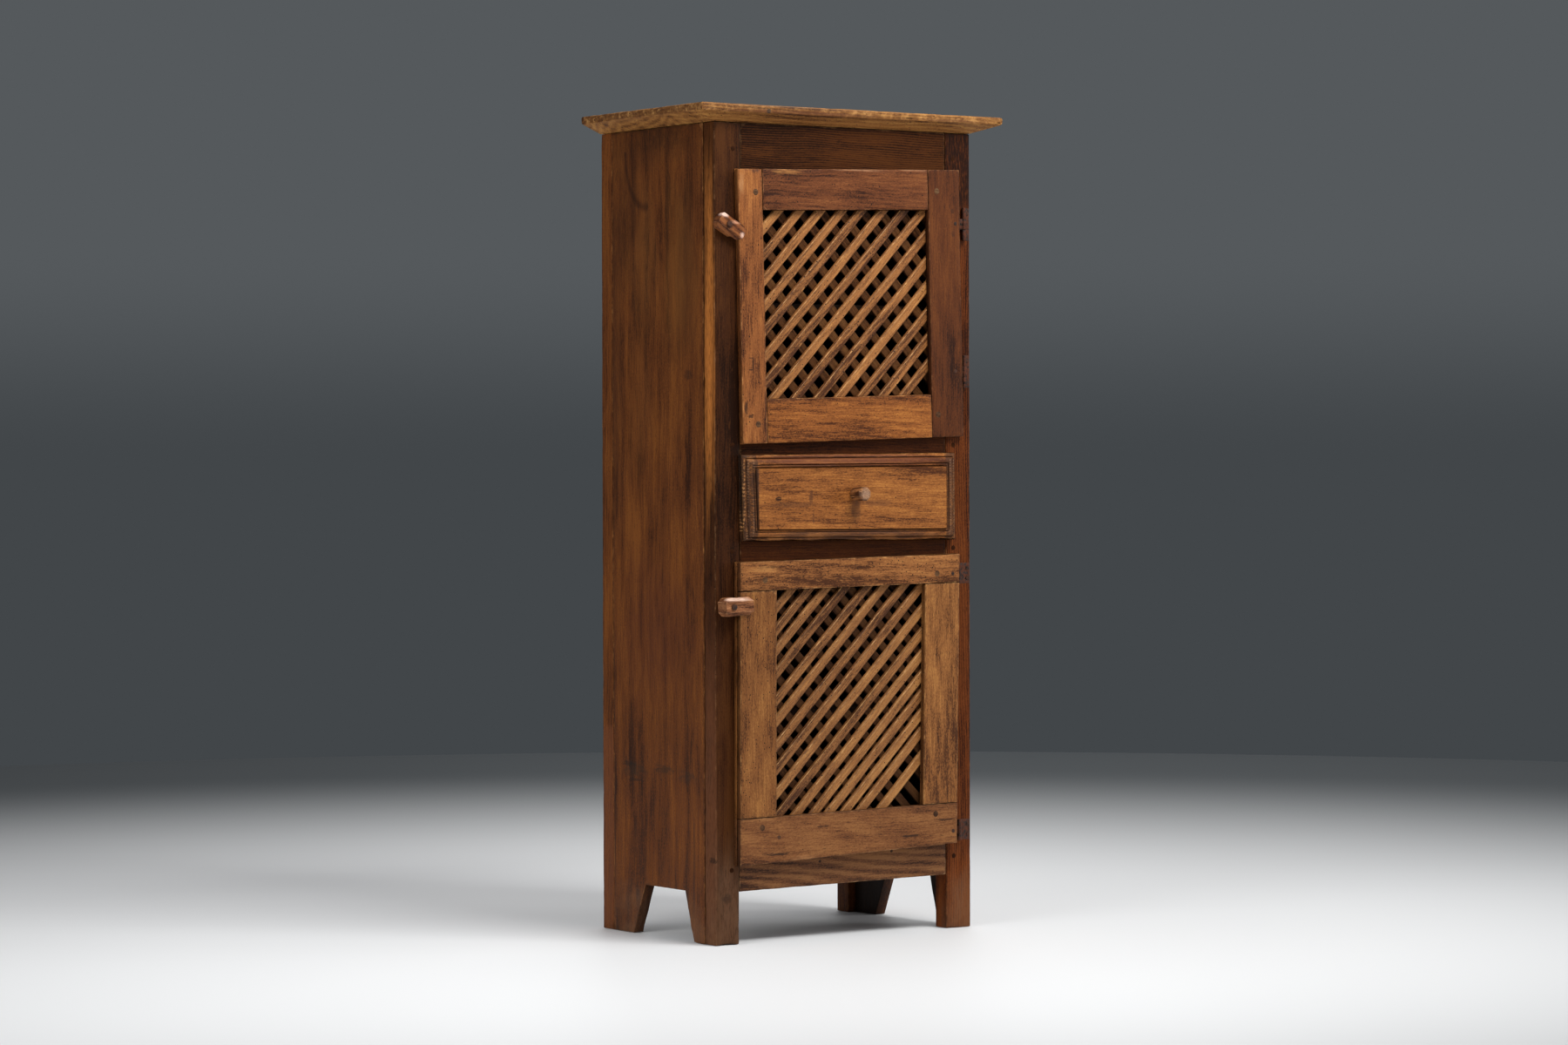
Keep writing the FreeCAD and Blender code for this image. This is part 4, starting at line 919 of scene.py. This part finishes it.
DRAWER_MARKS = (
    # Two knots with their dark streaks, and shadows about the knob
    ((122, -24, 797), (8, 6, 5), (34, 19, 12), 0.95, 0.15, 0.3),
    ((150, -24, 786), (70, 6, 6), (96, 58, 32), 0.6, 0.6),
    ((193, -24, 800), (6, 6, 16), (86, 50, 28), 0.8, 0.6),
    ((198, -24, 762), (3, 6, 14), (86, 50, 28), 0.7, 0.6),
    ((292, -24, 778), (14, 60, 26), (96, 58, 33), 0.7, 0.5),
    ((340, -24, 788), (46, 6, 8), (116, 72, 40), 0.5, 0.6),
    # The end strips' darker wood, and the shade beside the left one
    ((62, -15, 799), (19, 90, 500), (54, 35, 25), 0.9, 0.08, 0.12),
    ((48, -5, 799), (7, 7, 200), (12, 7, 4), 0.95, 0.05, 0.3),
    ((513, -15, 799), (16, 90, 500), (72, 45, 29), 0.85, 0.08, 0.12),
    # The lower and upper mouldings, their grooves and a rubbed arris
    ((290, -15, 731), (260, 16, 12), (80, 52, 37), 0.8, 0.35, 0.4),
    ((290, -15, 866), (260, 16, 15), (100, 52, 30), 0.85, 0.12, 0.4),
    ((290, -15, 872.5), (250, 16, 1.6), (40, 20, 12), 0.8, 0.2, 0.5),
    ((290, -15, 862), (250, 16, 1.4), (168, 108, 68), 0.7, 0.3, 0.6),
    ((290, -22, 856), (240, 16, 1.8), (48, 26, 15), 0.8, 0.2, 0.5),
    # Places rubbed pale
    ((66, -15, 868), (14, 16, 8), (176, 116, 62), 0.6, 0.8, 0.8),
    ((120, -15, 727), (26, 16, 5), (166, 108, 58), 0.7, 0.8),
    ((205, -15, 730), (34, 16, 7), (160, 102, 54), 0.75, 0.8),
    ((360, -15, 728), (44, 16, 6), (160, 102, 54), 0.75, 0.8),
    ((460, -15, 729), (22, 16, 6), (150, 96, 52), 0.7, 0.8),
)
# Rows of tool marks in the end strips: foot, height and pitch in mm, colour and strength
DRAWER_TICKS = [((x, 0, 726), 144, 5.0, (142, 104, 76), 0.75) for x in (60, 70, 507, 518)]
DRAWER_TICKS.append(((54, 0, 740), 130, 7.0, (196, 138, 84), 0.8))

KNOB_MARKS = (
    # A pale front end, and a painted shade on the left side
    ((290.81, -56.5, 805.16), (17, 10, 17), (206, 164, 132), 0.55, 0.3, 0.8),
    ((278.81, -48.5, 801.16), (7, 12, 8), (54, 30, 20), 0.8, 0.3, 0.8),
)


def moulded_front():
    """The drawer front's mesh: its worn moulding and field, on the plain CAD shape behind."""
    flange_y, field_y, split_y = (at(0, y, 0).y for y in (-11.0, -23.5, -9.0))
    # The corners of the whole front, and those of its raised field
    outer = [at(50, 0, 876), at(523.5, 0, 879.6), at(524.6, 0, 719.8), at(55, 0, 722)]
    inner = [at(76, 0, 851), at(496, 0, 854), at(497, 0, 741), at(81, 0, 743)]
    shape = bmesh.new()
    soil_and_shade = shape.verts.layers.float.new("dirt_and_shade")
    loops = [[shape.verts.new((p.x, split_y, p.z)) for p in outer]]
    for inward, forward, dirt_and_shade in MOULDING:
        loops.append([shape.verts.new((p.x + (q.x - p.x) * inward,
                                       flange_y + (field_y - flange_y) * forward,
                                       p.z + (q.z - p.z) * inward))
                      for p, q in zip(outer, inner)])
        for vert in loops[-1]:
            vert[soil_and_shade] = dirt_and_shade
    for lower, upper in zip(loops, loops[1:]):
        for i in range(4):
            shape.faces.new((lower[i - 1], lower[i], upper[i], upper[i - 1]))
    shape.faces.new(loops[-1])
    bmesh.ops.recalc_face_normals(shape, faces=shape.faces)
    cut_grid(shape, 7 * MM, (X, Z))
    layer = shape.verts.layers.float.new("edge")
    shape.normal_update()
    for vert in shape.verts:
        vert[layer] = math.exp(-outline_distance(vert.co, outer, Y) / (4 * MM))
        place = vert.co + Vector((2, 9, 4))
        bite = max(0.0, noise.noise(place * 30) + 0.4 * noise.noise(place * 110))
        vert.co -= vert.normal * (hollow(place, 12, 0.4 * MM) + 1.4 * MM * vert[layer] * bite)
        if vert.co.z < at(0, 0, 727).z:
            wave = noise.noise(Vector((vert.co.x * 13, 5, 5))) + 0.3
            vert.co.z += 3.0 * MM * max(0.0, wave) * vert[layer]
    source = node_mesh("drawer_front")
    cut(source, unit(Y) * split_y, unit(Y), clear=True)
    append(shape, source)
    source.free()
    return shape


def build_drawer():
    material = wood("drawer_front_wood", DRAWER_FRONT, GRAIN_X, 61, rings=7, figure=0.1,
                    streak=1.2, worms=0.03, spots=DRAWER_MARKS, rows=DRAWER_TICKS)
    place_piece("worn_drawer_front", moulded_front(), material, ["drawer_front"], 30)
    for seed, node in enumerate(("drawer_left_side", "drawer_right_side"), 62):
        soft_copy(node, wood(node + "_wood", BACK, GRAIN_Y, seed))
    for seed, node in enumerate(("drawer_back", "drawer_bottom"), 64):
        soft_copy(node, wood(node + "_wood", BACK, GRAIN_X, seed))
    material = wood("knob_wood", KNOB, GRAIN_Y, 66, rings=3, figure=0.5, wear=1.0,
                    spots=KNOB_MARKS)
    carved("drawer_knob", material, 66, 0.6 * MM)


def carved(node, material, seed, voxel):
    """A whittled piece: its arrises rubbed round and its facets slightly uneven."""
    piece = new_object("carved_" + node, nodes[node].data.copy())
    remesh = piece.modifiers.new("even", "REMESH")
    remesh.mode = "VOXEL"
    remesh.voxel_size = voxel
    rub = piece.modifiers.new("rub", "SMOOTH")
    rub.factor = 0.5
    rub.iterations = 1
    graph = bpy.context.evaluated_depsgraph_get()
    made = bpy.data.meshes.new_from_object(piece.evaluated_get(graph))
    bpy.data.objects.remove(piece)
    shape = bmesh.new()
    shape.from_mesh(made)
    bpy.data.meshes.remove(made)
    source = node_mesh(node)
    sharp = [[v.co.copy() for v in edge.verts] for edge in sharp_edges(source, 25)]
    source.free()
    layer = shape.verts.layers.float.new("edge")
    shape.normal_update()
    shift = Vector((seed, seed * 0.4, seed * 0.7))
    for vert in shape.verts:
        nearest = min(line_distance(vert.co, a, b) for a, b in sharp)
        vert[layer] = math.exp(-nearest / (2 * MM))
        vert.co -= vert.normal * hollow(vert.co + shift, 55, 0.3 * MM)
    place_piece("carved_" + node, shape, material, [node], 80)


UPPER_BUTTON_MARKS = (
    # Grime round the nail, and painted highlights on the upper chamfer facet and the nose's corner
    ((21, -19, 1284), (13, 10, 9), (38, 21, 13), 0.9, 0.4, 0.8),
    ((12, -17, 1307), (17, 14, 11), (236, 200, 182), 1.0, 0.2, 0.6),
    ((36, -17, 1290), (20, 12, 5), (196, 142, 112), 0.8, 0.4, 0.8),
    ((48, -17, 1267), (7, 12, 8), (222, 182, 160), 0.9, 0.3, 0.8),
)
LOWER_BUTTON_MARKS = (
    # A painted highlight along the upper chamfer, grime round the nail, and a darker left end
    ((28, -26, 619), (42, 15, 5), (226, 190, 168), 0.95, 0.3, 0.7),
    ((22, -28, 606), (9, 8, 7), (52, 32, 24), 0.8, 0.4, 0.8),
    ((-6, -24, 602), (8, 16, 12), (84, 50, 34), 0.7, 0.4, 0.8),
)


def build_buttons():
    material = wood("upper_button_wood", (112, 63, 36), slanted_grain(-29), 71, rings=4,
                    figure=0.6, wear=1.0, spots=UPPER_BUTTON_MARKS)
    carved("upper_turn_button", material, 71, 0.8 * MM)
    material = wood("lower_button_wood", (138, 88, 62), GRAIN_X, 72, rings=4, figure=0.4,
                    wear=1.0, spots=LOWER_BUTTON_MARKS)
    carved("lower_turn_button", material, 72, 0.8 * MM)


def build_iron():
    names = ("carcass_nails", "hinge_post_leaves", "hinge_post_nails", "hinge_pins",
             "upper_button_nail", "lower_button_nail", "upper_door_hinge_leaves",
             "upper_door_hinge_nails", "lower_door_hinge_leaves", "lower_door_hinge_nails",
             "drawer_nails")
    for seed, node in enumerate(names, 1):
        rusted = (96, 52, 32) if "leaves" in node else (84, 52, 36)
        soft_copy(node, iron(node + "_iron", seed, rusted), 0.35 * MM)


# Stage: floor, backdrop, lamps and camera

FLOOR_RADIUS = 4.9


def build_stage():
    """A pale floor that darkens towards a grey backdrop. It is a shade darker on the right,
    where two of the lamps stand, so that it is even and doesn't clip."""
    mesh = bpy.data.meshes.new("floor")
    shape = bmesh.new()
    bmesh.ops.create_circle(shape, cap_ends=True, radius=FLOOR_RADIUS, segments=96)
    shape.to_mesh(mesh)
    shape.free()
    floor = new_object("floor", mesh)
    material, tree, shader = new_material("floor_paint")
    place = add(tree, "TexCoord").outputs["Object"]
    near = remap(tree, vector_node(tree, "LENGTH", place), 0.9, 4.2, 1.0, 0.0)
    rightward = vector_node(tree, "DOT_PRODUCT", place, (0.82, -0.57, 0))
    pale = mix(tree, remap(tree, rightward, -0.6, 1.0), tone(249, 250, 250), tone(230, 231, 231))
    colour = mix(tree, near, tone(88, 92, 94), pale)
    tree.links.new(colour, shader.inputs["Base Color"])
    shader.inputs["Roughness"].default_value = 0.5
    shader.inputs["Specular IOR Level"].default_value = 0.08
    mesh.materials.append(material)

    world = bpy.data.worlds.new("studio")
    bpy.context.scene.world = world
    world.use_nodes = True
    tree = world.node_tree
    direction = add(tree, "TexCoord").outputs["Generated"]
    up = add(tree, "SeparateXYZ", {"Vector": direction}).outputs["Z"]
    backdrop = mix(tree, remap(tree, up, 0.0, 0.05), tone(66, 70, 73), tone(85, 89, 92))
    colour = mix(tree, seen_directly(tree), (0.32, 0.32, 0.33, 1), backdrop)
    tree.links.new(colour, tree.nodes["Background"].inputs["Color"])


def seen_directly(tree):
    """One for rays from the camera, and through gloss and glass; nothing for lighting."""
    path = add(tree, "LightPath").outputs
    seen = math_node(tree, "MAXIMUM", path["Is Camera Ray"], path["Is Glossy Ray"])
    return math_node(tree, "MAXIMUM", seen, path["Is Transmission Ray"])


LAMP_TARGET = Vector((0, 0, 0.8))


def lamp(name, place, size, power):
    """A soft area lamp that faces the middle of the cabinet, sizes in metres, power in watts."""
    light = bpy.data.lights.new(name, "AREA")
    light.shape = "RECTANGLE"
    light.size, light.size_y = size
    light.energy = power
    lamp_object = new_object(name, light)
    lamp_object.location = place
    towards = LAMP_TARGET - Vector(place)
    lamp_object.rotation_euler = towards.to_track_quat("-Z", "Y").to_euler()


def build_camera():
    """The photograph's own view, worked out from the edges of the carcass."""
    image_width = 1800
    focal_pixels = 4964
    sensor = 36.0
    data = bpy.data.cameras.new("camera")
    data.sensor_width = sensor
    data.lens = focal_pixels * sensor / image_width
    data.clip_end = 60
    camera = new_object("camera", data)
    yaw, pitch, roll = math.radians(34.49), math.radians(-0.80), math.radians(-0.132)
    turn = (Matrix.Rotation(-yaw, 3, "Z") @ Matrix.Rotation(math.radians(90) + pitch, 3, "X")
            @ Matrix.Rotation(roll, 3, "Z"))
    camera.matrix_world = Matrix.Translation(at(-4255, -6411, 863)) @ turn.to_4x4()
    bpy.context.scene.camera = camera


build_carcass()
build_doors()
build_drawer()
build_buttons()
build_iron()
build_stage()
lamp("overhead", (0.45, -1.9, 3.3), (1.5, 1.2), 92)
lamp("right_fill", (5.4, -3.3, 2.0), (2.4, 3.0), 76)
lamp("left_fill", (-3.6, -0.9, 1.7), (2.0, 2.0), 52)
lamp("rear_fill", (3.6, 4.2, 3.0), (3.0, 2.4), 55)
build_camera()
bpy.context.scene.view_settings.view_transform = "Standard"
